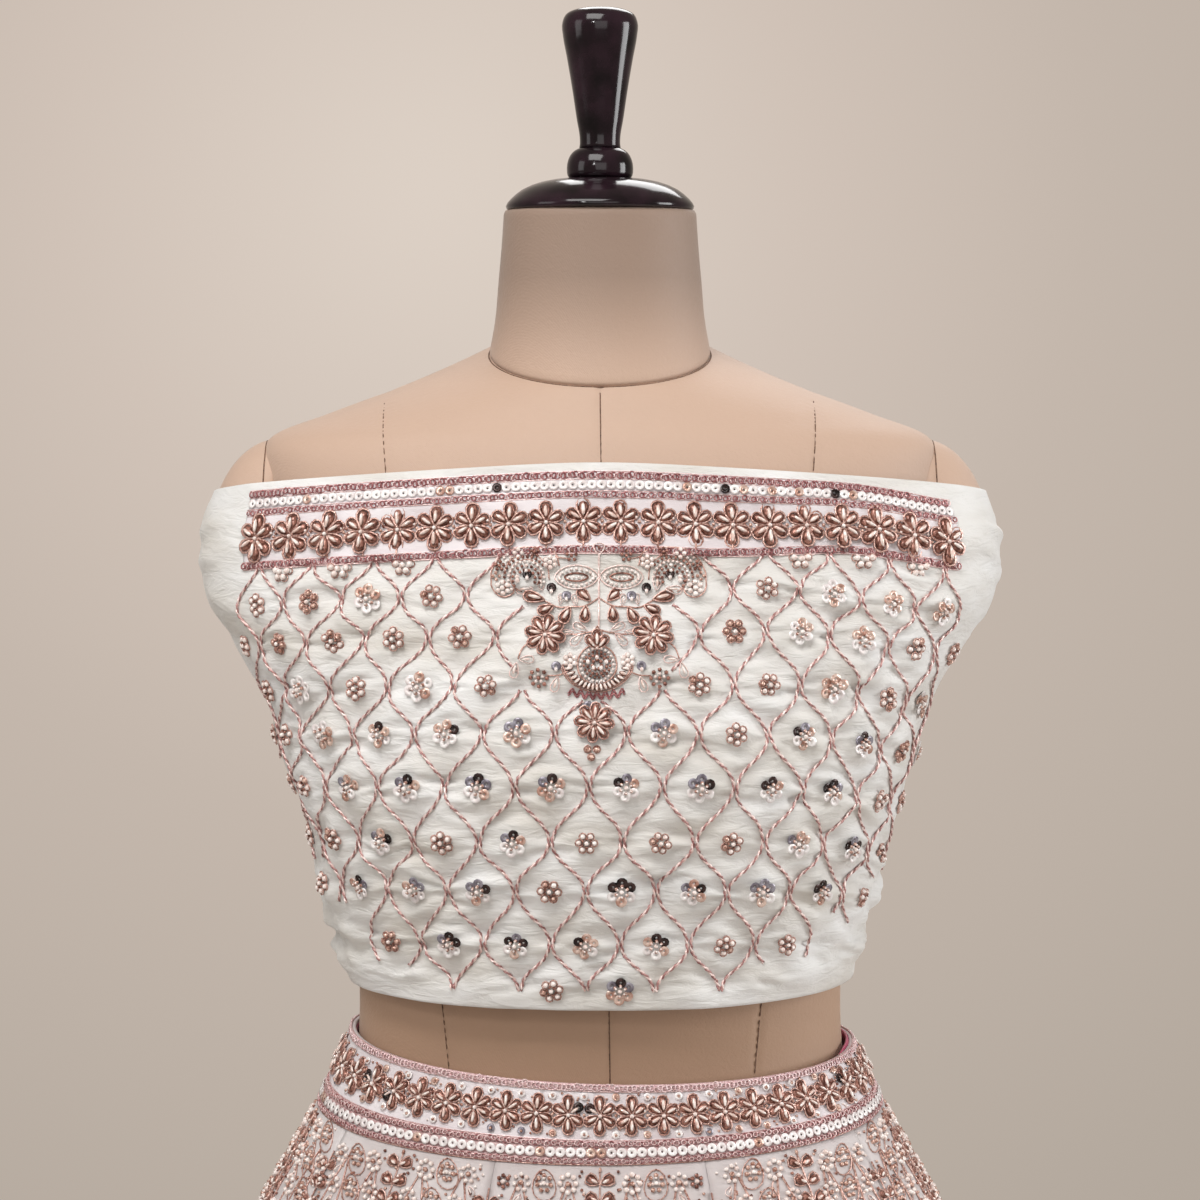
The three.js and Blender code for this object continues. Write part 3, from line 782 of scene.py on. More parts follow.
IVORY = silk("ivory_silk", srgb(225, 225, 224), srgb(205, 201, 194), 0.6)
BORDER_SILK = silk("border_silk", srgb(224, 219, 222), srgb(210, 200, 203), 0.15)
SKIRT_SILK = silk("skirt_silk", srgb(206, 200, 200), srgb(186, 175, 174), 0.25)
SATIN = satin("magenta_satin", srgb(196, 40, 104), srgb(158, 20, 78))
LINEN = linen("form_cover")
SEAM = thread("seam_thread", srgb(128, 97, 76), srgb(78, 55, 42), Metallic=0.0, Roughness=0.7)
CORD_DARK = thread("rose_cord_dark", srgb(198, 152, 148), srgb(136, 88, 86))
# The pale strand of the twisted lattice cords is a painted highlight along them; this pale thread also
# outlines pale petals, the motif's stem and its eye leaves
CORD_PALE = thread("rose_cord_pale", srgb(250, 234, 229), srgb(230, 196, 190))
PINK_CORD = thread("pink_scallop", srgb(194, 136, 136), srgb(136, 76, 78))
# Pale rings set in turn with the pink ones in the scallop rows are painted highlights on those rows;
# this pale thread also edges the rows
PINK_PALE = thread("pale_scallop", srgb(248, 228, 226), srgb(222, 182, 180))
PINK_TAPE = thread("pink_ground", srgb(216, 188, 187), srgb(172, 128, 129), 1500.0, Metallic=0.0)
PINK_EDGE = thread("pink_braid", srgb(248, 228, 230), srgb(226, 184, 190), Metallic=0.1)
LOOP = thread("petal_outline", srgb(230, 194, 182), srgb(158, 110, 98), Roughness=0.26)
BRONZE = bead("bronze_bead", srgb(170, 122, 108), srgb(104, 64, 54), Metallic=0.3)
# Near-white long bead laid down each petal: a painted highlight, standing in for the glint on the brown
# drops
PIPE_GLINT = bead("pipe_glint_bead", srgb(250, 240, 234), srgb(226, 196, 184), 300.0, Coat_Weight=1.0)
SEED = bead("seed_bead", srgb(222, 188, 173), srgb(154, 108, 93), 700.0, Metallic=0.3)
PEARL = bead("pearl", srgb(246, 238, 234), srgb(228, 206, 198), 500.0, Coat_Weight=0.8)
CLEAR = bead("clear_sequin", srgb(246, 242, 241), srgb(224, 214, 213), 260.0, Coat_Weight=0.6)
SMOKE = bead("smoke_sequin", srgb(158, 154, 164), srgb(116, 110, 120), 260.0, Metallic=0.3)
DARK = bead("dark_sequin", srgb(66, 48, 46), srgb(26, 18, 18), 260.0, Metallic=0.4)
BLUSH = bead("blush_sequin", srgb(226, 200, 187), srgb(184, 142, 126), 260.0, Metallic=0.3)
GLOSS = lacquer("gloss_black_lacquer", srgb(42, 26, 34))
STAND_PAINT = stand_paint("stand_paint")


# Meshes from arrays
def mesh_object(name, vertices, faces, materials, face_materials=None, uv=None):
    mesh = bpy.data.meshes.new(name)
    mesh.vertices.add(len(vertices))
    mesh.vertices.foreach_set("co", (vertices * MM).astype(np.float32).ravel())
    corners = np.concatenate([f.ravel() for f in faces]).astype(np.int32)
    sizes = np.concatenate([np.full(len(f), f.shape[1]) for f in faces])
    mesh.loops.add(len(corners))
    mesh.loops.foreach_set("vertex_index", corners)
    mesh.polygons.add(len(sizes))
    starts = np.concatenate([[0], np.cumsum(sizes)[:-1]]).astype(np.int32)
    mesh.polygons.foreach_set("loop_start", starts)
    if face_materials is not None:
        mesh.polygons.foreach_set("material_index", np.asarray(face_materials, np.int32))
    mesh.polygons.foreach_set("use_smooth", np.ones(len(sizes), bool))
    if uv is not None:
        layer = mesh.uv_layers.new(name="cloth")
        layer.data.foreach_set("uv", (uv[corners] * MM).astype(np.float32).ravel())
    mesh.update(calc_edges=True)
    for material in materials:
        mesh.materials.append(material)
    piece = bpy.data.objects.new(name, mesh)
    bpy.context.scene.collection.objects.link(piece)
    return piece


def keep(piece, node=None):
    """Ties a piece to the one body, and hides the solid that it stands for"""
    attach(piece, "root")
    if node:
        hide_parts(node)
    return piece


def signed_volume(vertices, quads):
    a, b, c, d = (vertices[quads[:, i]] for i in range(4))
    first = np.einsum("ij,ij->i", a, np.cross(b, c))
    second = np.einsum("ij,ij->i", a, np.cross(c, d))
    return (first + second).sum()


def wall_faces(columns, rows, tube):
    """Faces of a closed wall between an outer and an inner grid of columns and rows"""
    i = np.arange(columns if tube else columns - 1)[:, None]
    j = np.arange(rows - 1)[None, :]
    at = lambda a, b: (a % columns) * rows + b
    shift = columns * rows
    flat = lambda *corners: stacked(*corners).reshape(-1, 4)
    outer = flat(at(i, j), at(i, j + 1), at(i + 1, j + 1), at(i + 1, j))
    inner = outer[:, ::-1] + shift
    i, end = i[:, 0], rows - 1
    first = flat(at(i, 0), at(i + 1, 0), at(i + 1, 0) + shift, at(i, 0) + shift)
    last = flat(at(i, end), at(i, end) + shift, at(i + 1, end) + shift, at(i + 1, end))
    parts = [outer, inner, first, last]
    if not tube:
        j, far = j[0], columns - 1
        parts.append(flat(at(0, j), at(0, j) + shift, at(0, j + 1) + shift, at(0, j + 1)))
        parts.append(flat(at(far, j), at(far, j + 1), at(far, j + 1) + shift, at(far, j) + shift))
    return np.concatenate(parts)


def wall_object(name, outer, inner, tube, material, uv):
    columns, rows = outer.shape[:2]
    vertices = np.concatenate([outer.reshape(-1, 3), inner.reshape(-1, 3)])
    faces = wall_faces(columns, rows, tube)
    if signed_volume(vertices, faces) < 0:
        faces = faces[:, ::-1]
    both = np.concatenate([uv.reshape(-1, 2)] * 2)
    return mesh_object(name, vertices, [faces], [material], uv=both)


def ring_stack(name, points, material):
    """Closed solid from rings of points with flat ends, rings[row][column]"""
    rows, columns = points.shape[:2]
    i = np.arange(columns)[None, :]
    j = np.arange(rows - 1)[:, None]
    at = lambda b, a: b * columns + (a % columns)
    sides = stacked(at(j, i), at(j, i + 1), at(j + 1, i + 1), at(j + 1, i)).reshape(-1, 4)
    vertices = points.reshape(-1, 3)
    if signed_volume(vertices, sides) < 0:
        sides = sides[:, ::-1]
    middle = [points[0].mean(axis=0), points[-1].mean(axis=0)]
    vertices = np.concatenate([vertices, middle])
    a = np.arange(columns)
    bottom = np.stack([at(0, a), at(0, a + 1), np.full(columns, rows * columns)], axis=-1)
    top = np.stack([at(rows - 1, a + 1), at(rows - 1, a), np.full(columns, rows * columns + 1)], -1)
    inward = np.cross(points[0, 1] - points[0, 0], middle[0] - points[0, 0])[2] > 0
    if inward:
        bottom, top = bottom[:, ::-1], top[:, ::-1]
    return mesh_object(name, vertices, [sides, bottom, top], [material])


# Beads, sequins and cords, gathered on a cloth and joined into one mesh
def ball(rings, sides):
    """Closed ball of unit diameter, as rows of rings between two poles"""
    up = np.linspace(0, PI, rings + 2)[1:-1]
    turn = np.linspace(0, 2 * PI, sides, endpoint=False)
    shell = np.array([
        (math.sin(u) * math.cos(t) / 2, math.sin(u) * math.sin(t) / 2, -math.cos(u) / 2)
        for u in up for t in turn
    ])
    vertices = np.concatenate([shell, [(0, 0, -0.5), (0, 0, 0.5)]])
    at = lambda r, i: r * sides + i % sides
    faces = [(at(r, i), at(r, i + 1), at(r + 1, i + 1)) for r in range(rings - 1) for i in range(sides)]
    faces += [(at(r, i), at(r + 1, i + 1), at(r + 1, i)) for r in range(rings - 1) for i in range(sides)]
    low, high = rings * sides, rings * sides + 1
    faces += [(low, at(0, i + 1), at(0, i)) for i in range(sides)]
    faces += [(high, at(rings - 1, i), at(rings - 1, i + 1)) for i in range(sides)]
    return vertices, np.array(faces)


def tube_faces(rows, sides, closed=False):
    """Triangles of a tube of rows of points, closed on itself or with flat ends"""
    i = np.arange(rows if closed else rows - 1)[:, None]
    k = np.arange(sides)[None, :]
    at = lambda a, b: a % rows * sides + b % sides
    faces = [
        stacked(at(i + 1, k + 1), at(i, k + 1), at(i, k)).reshape(-1, 3),
        stacked(at(i + 1, k), at(i + 1, k + 1), at(i, k)).reshape(-1, 3),
    ]
    if not closed:
        fan = np.array([(0, m, m + 1) for m in range(1, sides - 1)])
        faces += [fan, fan[:, ::-1] + (rows - 1) * sides]
    return np.concatenate(faces)


def swept_loop(path, radius, sides):
    """Closed cord along a closed flat path of points"""
    path = np.asarray(path, float)
    ahead = unit(np.roll(path, -1, axis=0) - np.roll(path, 1, axis=0))
    side = np.stack([ahead[:, 1], -ahead[:, 0]], axis=1)
    turn = np.linspace(0, 2 * PI, sides, endpoint=False) + PI / sides
    vertices = np.array([
        (p[0] + q[0] * radius * math.cos(t), p[1] + q[1] * radius * math.cos(t),
         radius * math.sin(t))
        for p, q in zip(path, side) for t in turn
    ])
    return vertices, tube_faces(len(path), sides, closed=True)


def petal_body(rings=4, sides=6):
    """Teardrop bead from the origin along +Y, one unit long"""
    vertices, faces = ball(rings, sides)
    vertices = vertices[:, [0, 2, 1]] * (1, 1, -1)
    along = vertices[:, 1] + 0.5
    width = 0.46 * (0.5 + 0.8 * along)
    out = np.stack([vertices[:, 0] * width * 2.2 / 2, 0.16 + 0.8 * along,
                    vertices[:, 2] * width * 1.5 / 2], axis=1)
    return out, faces


def petal_loop(points=12, radius=0.078, sides=3):
    t = np.linspace(0, 2 * PI, points, endpoint=False)
    along = 0.5 - 0.5 * np.cos(t)
    across = 0.335 * np.sin(t) * (0.4 + 0.95 * along)
    return swept_loop(np.stack([across, 0.06 + 0.98 * along], axis=1), radius, sides)


def ring(points=8, radius=0.12, sides=3):
    t = np.linspace(0, 2 * PI, points, endpoint=False)
    return swept_loop(np.stack([np.cos(t), np.sin(t)], axis=1) * 0.5, radius, sides)


def sequin(points=10):
    """Thin cupped disc with a hole, of unit diameter"""
    t = np.linspace(0, 2 * PI, points, endpoint=False)
    rings = ((0.1, 0.0), (0.36, 0.03), (0.5, 0.1), (0.49, 0.14), (0.1, 0.05))
    vertices = np.array([
        (r * math.cos(a), r * math.sin(a), h) for r, h in rings for a in t
    ])
    n = len(rings)
    at = lambda k, i: (k % n) * points + i % points
    faces = []
    for k in range(n):
        for i in range(points):
            faces.append((at(k, i), at(k + 1, i + 1), at(k, i + 1)))
            faces.append((at(k, i), at(k + 1, i), at(k + 1, i + 1)))
    return vertices, np.array(faces)


def pipe():
    """Long bead lying along the middle of a petal, near white as the petal's painted highlight"""
    vertices, faces = ball(3, 4)
    vertices = vertices[:, [0, 2, 1]] * (0.21, 0.6, -0.2) + (0, 0.52, 0.2)
    return vertices, faces


TEMPLATES = {
    "pearl": (ball(4, 7), PEARL),
    "rose_pearl": (ball(4, 7), SEED),
    "seed": (ball(2, 5), SEED),
    "white_seed": (ball(2, 5), PEARL),
    "bronze_seed": (ball(2, 5), BRONZE),
    "dark_seed": (ball(2, 4), DARK),
    "petal": (petal_body(), BRONZE),
    "leaf": (petal_body(3, 5), BRONZE),
    "pipe": (pipe(), PIPE_GLINT),
    "outline": (petal_loop(), LOOP),
    "leaf_edge": (petal_loop(8), LOOP),
    "pink_outline": (petal_loop(10, 0.06), CORD_PALE),
    "ring": (ring(), LOOP),
    "scallop": (ring(7, 0.16), PINK_CORD),
    # Pale scallops: painted highlights in turn with the pink scallops
    "pale_scallop": (ring(7, 0.13), PINK_PALE),
    "braid": (ring(7, 0.16), PINK_EDGE),
    "clear": (sequin(), CLEAR),
    "smoke": (sequin(), SMOKE),
    "dark": (sequin(), DARK),
    "blush": (sequin(), BLUSH),
    "stitch": (ball(3, 5), SEAM),
}


class Needlework:
    """Beads and cords on one cloth, joined into one mesh"""

    def __init__(self, cloth):
        self.cloth = cloth
        self.vertices = []
        self.faces = []
        self.material_of = []
        self.materials = []
        self.count = 0

    def _slot(self, material):
        if material not in self.materials:
            self.materials.append(material)
        return self.materials.index(material)

    def _keep(self, vertices, faces, material):
        self.vertices.append(vertices)
        self.faces.append(faces + self.count)
        self.material_of.append(np.full(len(faces), self._slot(material)))
        self.count += len(vertices)

    def put(self, kind, s, z, turn=0.0, size=1.0, out=0.0, tip=0.0):
        """Copies of a template at places on the cloth, turned in it and tipped towards +Y.

        The size is one number, or one for each direction of the template."""
        (shape, faces), material = TEMPLATES[kind]
        s, z, turn, out = (np.atleast_1d(np.asarray(v, float)) for v in (s, z, turn, out))
        s, z, turn, out = np.broadcast_arrays(s, z, turn, out)
        origin, axes = self.cloth.frames(s, z, out)
        c, n = np.cos(turn)[:, None], np.sin(turn)[:, None]
        along = axes[:, 0] * c + axes[:, 1] * n
        up = axes[:, 1] * c - axes[:, 0] * n
        normal = axes[:, 2]
        if tip:
            up, normal = (up * math.cos(tip) + normal * math.sin(tip),
                          normal * math.cos(tip) - up * math.sin(tip))
        scaled = shape * np.asarray(size, float)
        placed = (
            origin[:, None]
            + along[:, None] * scaled[None, :, [0]]
            + up[:, None] * scaled[None, :, [1]]
            + normal[:, None] * scaled[None, :, [2]]
        )
        copies = len(s)
        every = faces[None] + (np.arange(copies) * len(shape))[:, None, None]
        self._keep(placed.reshape(-1, 3), every.reshape(-1, 3), material)

    def strand(self, s, z, radius, material, sides=5, out=0.0, twist=0.0, offset=0.0, phase=0.0,
               taut=False):
        """Round cord along a path on the cloth, with an optional lay round the path"""
        centre, axes = self.cloth.frames(s, z, out)
        if taut:
            for _ in range(4):
                centre[1:-1] = (centre[:-2] + 2 * centre[1:-1] + centre[2:]) / 4
        ahead = unit(np.gradient(centre, axis=0))
        side = unit(np.cross(ahead, axes[:, 2]))
        lift = np.cross(side, ahead)
        if twist:
            lay = phase + 2 * PI * run_along(centre) / twist
            centre = centre + offset * (side * np.cos(lay)[:, None] + lift * np.sin(lay)[:, None])
        turn = np.linspace(0, 2 * PI, sides, endpoint=False)
        vertices = (
            centre[:, None]
            + radius * side[:, None] * np.cos(turn)[None, :, None]
            + radius * lift[:, None] * np.sin(turn)[None, :, None]
        ).reshape(-1, 3)
        self._keep(vertices, tube_faces(len(centre), sides), material)

    def cord(self, s, z, radius=0.6, lay=6.4, out=0.85):
        """Twisted pair laid by hand: a dull rose strand and a pale one, the pale strand a painted
        highlight along the cord
        """
        s = s + 0.55 * WOBBLE(s, z)
        offset = radius * 0.85
        self.strand(s, z, radius, CORD_DARK, 4, out, lay, offset, 0.0, taut=True)
        self.strand(s, z, radius, CORD_PALE, 4, out, lay, offset, PI, taut=True)

    def petals(self, s, z, turns, length, wide=1.0, out=1.4, pale=False):
        """Outlined petals from one place, each a drop with a long near-white bead down its middle as its
        painted highlight
        """
        turns = np.atleast_1d(np.asarray(turns, float))
        length = np.broadcast_to(np.asarray(length, float), turns.shape)
        for turn, reach in zip(turns, length):
            size = (reach * wide, reach, reach * 0.9)
            if pale:
                self.put("pink_outline", s, z, turn=-turn, size=size, out=out - 0.3)
            else:
                self.put("petal", s, z, turn=-turn, size=size, out=out)
                self.put("outline", s, z, turn=-turn, size=size, out=out)
            self.put("pipe", s, z, turn=-turn, size=size, out=out + (0.0 if pale else 0.35))

    def tape(self, s, z, width, material, out=0.3):
        """Flat strip of close stitching along a path on the cloth"""
        low, _ = self.cloth.frames(s, z - width / 2, out)
        high, _ = self.cloth.frames(s, z + width / 2, out)
        under_low, _ = self.cloth.frames(s, z - width / 2, out - 0.35)
        under_high, _ = self.cloth.frames(s, z + width / 2, out - 0.35)
        rows = len(s)
        vertices = np.concatenate([low, high, under_high, under_low])
        i = np.arange(rows - 1)
        faces = []
        for side in range(4):
            a, b = side * rows + i, (side + 1) % 4 * rows + i
            faces += [np.stack([a, a + 1, b + 1], -1), np.stack([a, b + 1, b], -1)]
        for end, order in ((0, 1), (rows - 1, -1)):
            corners = [end, end + rows, end + 2 * rows, end + 3 * rows]
            cap = np.array([corners[:3], [corners[0], corners[2], corners[3]]])
            faces.append(cap[:, ::order])
        self._keep(vertices, np.concatenate(faces), material)

    def make(self, name):
        """The whole work as one mesh"""
        vertices = np.concatenate(self.vertices)
        faces = np.concatenate(self.faces)
        piece = mesh_object(name, vertices, [faces], self.materials, np.concatenate(self.material_of))
        keep(piece)
        print(name, len(faces), "triangles")


def path_points(points, step=1.3):
    """Smooth path through a few places, with even steps"""
    points = np.asarray(points, float)
    knots = run_along(points)
    slopes = np.gradient(points, knots, axis=0)
    count = max(int(knots[-1] / step), 3)
    at = np.linspace(0, knots[-1], count)
    i = np.clip(np.searchsorted(knots, at) - 1, 0, len(knots) - 2)
    h = (knots[i + 1] - knots[i])[:, None]
    t = ((at - knots[i])[:, None]) / h
    return smooth_between(t, points[i], points[i + 1], slopes[i] * h, slopes[i + 1] * h)


def turn_about(s, z, radius, angles):
    return s + radius * np.sin(angles), z + radius * np.cos(angles)


# Cloth pieces
def make_blouse():
    front = np.linspace(-FRONT_ANGLE, FRONT_ANGLE, FRONT_COLUMNS)
    left = np.linspace(-PI - OVERLAP_ANGLE, -FRONT_ANGLE, BACK_COLUMNS)[:-1]
    right = np.linspace(FRONT_ANGLE, PI + OVERLAP_ANGLE, BACK_COLUMNS)[1:]
    angle = np.concatenate([left, front, right])[:, None]
    share = np.linspace(0, 1, BLOUSE_MESH_ROWS)[None, :]
    z = blouse_top(angle) * (1 - share) + BLOUSE_HEM * share
    s = BLOUSE.arc_at(angle, z)
    relief = blouse_relief(s, z)
    outer = blouse_shape(angle, z, relief)
    inner = blouse_shape(angle, z, relief - BLOUSE_WALL)
    uv = stacked(s, z)
    piece = wall_object("blouse_cloth", outer, inner, False, IVORY, uv)
    keep(piece, "blouse_wrap")


def make_border_ground():
    angle = np.linspace(-BORDER_HALF_ANGLE, BORDER_HALF_ANGLE, 190)[:, None]
    share = np.linspace(0, 1, 13)[None, :]
    z = border_height(angle, BORDER_HEIGHT * share)
    s = BLOUSE.arc_at(angle, z)
    outer = BLOUSE.point(s, z, 0.75)
    inner = BLOUSE.point(s, z, 0.1)
    uv = stacked(s, z)
    piece = wall_object("border_ground", outer, inner, False, BORDER_SILK, uv)
    keep(piece, "blouse_border")


def make_band():
    angle = np.linspace(0, 2 * PI, 250, endpoint=False)[:, None]
    share = np.linspace(0, 1, 10)[None, :]
    z = band_top(angle) * (1 - share) + band_bottom(angle) * share
    s = np.broadcast_to(angle * 147, z.shape)
    uv = stacked(s, z)
    piece = wall_object(
        "waistband_cloth", band_shape(angle, z, 0.0), band_shape(angle, z, -BAND_WALL), True,
        BORDER_SILK, uv,
    )
    keep(piece, "waistband")


def make_facing():
    angle = np.linspace(0, 2 * PI, 150, endpoint=False)[:, None]
    share = np.linspace(0, 1, 6)[None, :]
    shows = smooth_step(0.9, 0.99, np.sin(angle)) * 3.2
    z = band_top(angle) - FACING_DROP + shows - FACING_DEPTH * share
    seat = -BAND_WALL - SEAM_GAP
    uv = stacked(angle * 140, z)
    piece = wall_object(
        "facing_cloth", band_shape(angle, z, seat), band_shape(angle, z, seat - FACING_WALL), True,
        SATIN, uv,
    )
    keep(piece, "waistband_facing")


def make_kalis():
    width = 2 * PI / KALIS
    for k in range(KALIS):
        share = np.linspace(0, 1, 58)[None, :]
        across = np.linspace(-1, 1, 25)[:, None]
        angle = k * width + across * width / 2
        angle = np.where(angle > PI, angle - 2 * PI, angle)
        z = skirt_top(angle) * (1 - share) + HEM_Z * share
        s = SKIRT.arc_at(angle, z)
        seam = 0.15 * across / np.maximum(column(SKIRT_RINGS, "front", z), 1)
        angle = angle - np.where(np.abs(across) == 1, seam, 0)
        pinch = -0.35 * np.exp(-(((1 - np.abs(across)) / 0.035) ** 2))
        relief = skirt_relief(s, z) + pinch
        outer = skirt_shape(angle, z, relief)
        inner = skirt_shape(angle, z, relief - SKIRT_WALL)
        uv = stacked(s, z)
        piece = wall_object(f"kali_cloth_{k + 1}", outer, inner, False, SKIRT_SILK, uv)
        keep(piece, f"skirt_kali_{k + 1}")


# Embroidery of the blouse piece
def make_lattice():
    work = Needlework(BLOUSE)
    reach = len(LATTICE_ROWS) - 1
    pitch = LATTICE_ROWS[:, 2]
    for k in range(-13, 13):
        nearest = k if k >= 0 else -1 - k
        far = (nearest + 0.5) * pitch / 2
        inside = np.nonzero(far <= LATTICE_REACH)[0]
        if len(inside) == 0:
            continue
        last = inside[-1]
        bottom = LATTICE_BOTTOM if last == reach else last + 0.42 + 0.12 * math.sin(5.0 * k)
        stretches = CORD_GAPS.get(nearest, ((-0.5, 9.2),))
        for start, end in stretches:
            end = min(end, bottom)
            if end <= start:
                continue
            length = (lattice_height(start) - lattice_height(end)) * 1.15
            row = np.linspace(start, end, max(int(length / 1.5), 4))
            s = lattice_cord(k, row)
            level = lattice_height(np.maximum(row, 0)) - np.minimum(row, 0) * 21
            z = level - lattice_sag(s, level)
            below = z < border_height(BLOUSE.angle_at(s, z), BORDER_HEIGHT) + 1
            if below.sum() > 3:
                work.cord(s[below], z[below])
    work.make("lattice_cords")


def pearl_flower(work, s, z, size, turn, kind="pearl"):
    """Pearl with six round it, each in a fine ring"""
    angles = turn + np.arange(6) * PI / 3
    around = turn_about(s, z, 4.1 * size, angles)
    mixed = rng.uniform(size=6) < 0.22
    for some, bead_kind in ((mixed, "rose_pearl"), (~mixed, kind)):
        if some.any():
            work.put(bead_kind, around[0][some], around[1][some], size=3.0 * size, out=1.2)
    work.put("ring", *around, size=4.2 * size, out=1.0)
    near = turn_about(s, z, 2.3 * size, angles + 0.5)
    work.put("bronze_seed", *near, size=1.6 * size, out=1.9)
    work.put("pearl", s, z, size=2.6 * size, out=2.2)


def sequin_flower(work, s, z, size, turn, kinds):
    """Six sequins lapped round a pearl, with a bead on the root of each"""
    for m, kind in enumerate(kinds):
        angle = turn + m * PI / 3
        place = turn_about(s, z, 4.9 * size, angle)
        work.put(kind, *place, turn=-angle, size=5.7 * size, out=0.8, tip=0.08)
    angles = turn + np.arange(6) * PI / 3
    work.put("seed", *turn_about(s, z, 3.0 * size, angles), size=2.2 * size, out=1.8)
    work.put("white_seed", *turn_about(s, z, 2.6, angles), size=1.4 * size, out=2.7)
    work.put("pearl", s, z, size=2.7 * size, out=2.2)


def make_flowers():
    work = Needlework(BLOUSE)
    for row, (level, middle, pitch) in enumerate(LATTICE_ROWS):
        for step in range(FLOWER_FROM[row], 14, 2):
            for side in (-1, 1):
                if step == 0 and side < 0:
                    continue
                s = middle + side * step * pitch / 2
                if abs(s - middle) > LATTICE_REACH[row] + (6 if row < 9 else -60):
                    continue
                turn = rng.uniform(0, PI / 3)
                size = rng.uniform(0.92, 1.06)
                z = level - float(lattice_sag(s, level))
                if row == 0:
                    z = float(border_height(BLOUSE.angle_at(s, z), BORDER_HEIGHT)) - 2.6
                    half = np.linspace(-PI / 2, PI / 2, 4) + PI
                    work.put("pearl", *turn_about(s, z, 3.8, half), size=3.6, out=1.5)
                    work.put("pearl", s, z - 0.5, size=3.4, out=2.0)
                    work.put("ring", *turn_about(s, z, 4.4, half), size=4.0, out=0.7)
                    continue
                worked_dark = row >= 4 and abs(s) < 150
                chance = 0.75 if worked_dark else 0.45 if s > 60 else 0.08
                if rng.uniform() < chance:
                    upper = ["blush", "smoke", "dark"] if worked_dark else ["clear", "blush"]
                    kinds = rng.choice(upper, 6)
                    kinds[2:5] = rng.choice(["clear", "clear", "blush", "clear"], 3)
                    sequin_flower(work, s, z, size, 0.15 * turn, kinds)
                else:
                    kind = "rose_pearl" if rng.uniform() < 0.14 else "pearl"
                    pearl_flower(work, s, z, size, turn, kind)
    work.make("blouse_flowers")


def bead_flower(work, s, z, petals, radius, turn=0.0, out=1.7, wide=0.9):
    """Flower of outlined petals round a pearl"""
    work.petals(s, z, turn + np.arange(petals) * 2 * PI / petals, radius, wide, out)
    work.put("pearl", s, z, size=2.4, out=out + 1.3)


def even_places(cloth, s, z, pitch):
    """Places a pitch apart on a path: the path's run, each place's run, and its s and z"""
    run = run_along(cloth.point(s, z, 1.0))
    count = int(run[-1] / pitch)
    at = (np.arange(count) + 0.5) * run[-1] / count
    return run, at, np.interp(at, run, s), np.interp(at, run, z)


def cord_row(work, s, z, pitch, kinds, width, height):
    """Row of small loops side by side along a path on the cloth, kinds in turn"""
    run, at, place, level = even_places(work.cloth, s, z, pitch)
    slope = np.gradient(z, run)
    lean = np.arctan(np.interp(at, run, slope))
    work.tape(s[::2], z[::2], height + 0.7, PINK_TAPE, 0.55)
    for m, kind in enumerate(kinds):
        part = slice(m, None, len(kinds))
        mine = len(place[part])
        for share in (slice(0, None, 2), slice(1, None, 2)):
            scale = rng.uniform(0.8, 1.12)
            work.put(
                kind, place[part][share], (level[part] + rng.normal(0, 0.3, mine))[share],
                turn=(lean[part] + rng.normal(0, 0.35, mine))[share],
                size=(width * scale, height * scale, width), out=1.0 + 0.22 * m,
            )


def sequin_row(work, s, z, pitch, size, dark):
    """Row of sequins along a path, most of them clear, each held by a dark bead"""
    _, at, place, level = even_places(work.cloth, s, z, pitch)
    chance = np.array([0.84 - dark, 0.12, 0.0, 0.04 + dark])
    kinds = rng.choice(["clear", "blush", "smoke", "dark"], len(at), p=chance / chance.sum())
    for kind in ("clear", "blush", "smoke", "dark"):
        mine = kinds == kind
        if mine.any():
            work.put(kind, place[mine], level[mine], turn=rng.uniform(0, 6, mine.sum()),
                     size=size, out=1.2, tip=0.05)
    work.put("dark_seed", place, level, size=(0.9, 0.9, 0.7), out=1.5)


def border_path(drop):
    angle = np.linspace(-BORDER_HALF_ANGLE, BORDER_HALF_ANGLE, 190)
    z = border_height(angle, drop)
    return BLOUSE.arc_at(angle, z), z


def make_border_cords():
    work = Needlework(BLOUSE)
    for drop, height in BORDER_CORDS:
        s, z = border_path(drop)
        cord_row(work, s, z, 1.62, ("scallop", "pale_scallop", "scallop"), 2.7, height * 0.9)
        for edge in (-height / 2 - 0.2, height / 2 + 0.2):
            work.strand(s, z + edge, 0.36, PINK_PALE, 3, 0.85)
    s, z = border_path(7.3)
    work.tape(s[::2], z[::2], 5.6, PINK_TAPE, 0.5)
    sequin_row(work, s, z, 4.9, 5.3, 0.02)
    work.make("border_cords")


# Petals of a flower of the border and the waistband: degrees from up and length
SIX_PETALS = np.array([(0, 11.4), (57, 10.2), (-57, 10.2), (122, 10.4), (-122, 10.4), (180, 11.6)])
# Beads between two such flowers: along, up, kind and size
BETWEEN_FLOWERS = (
    (0, 0, "seed", 2.3),
    (-1.5, 2.1, "white_seed", 1.9),
    (1.6, 1.9, "bronze_seed", 2.0),
    (-1.6, -2.1, "bronze_seed", 1.9),
    (1.5, -2.1, "seed", 2.0),
    (0.2, 4.1, "bronze_seed", 1.7),
    (-3.2, 0.1, "bronze_seed", 1.9),
    (3.2, -0.2, "white_seed", 1.8),
)


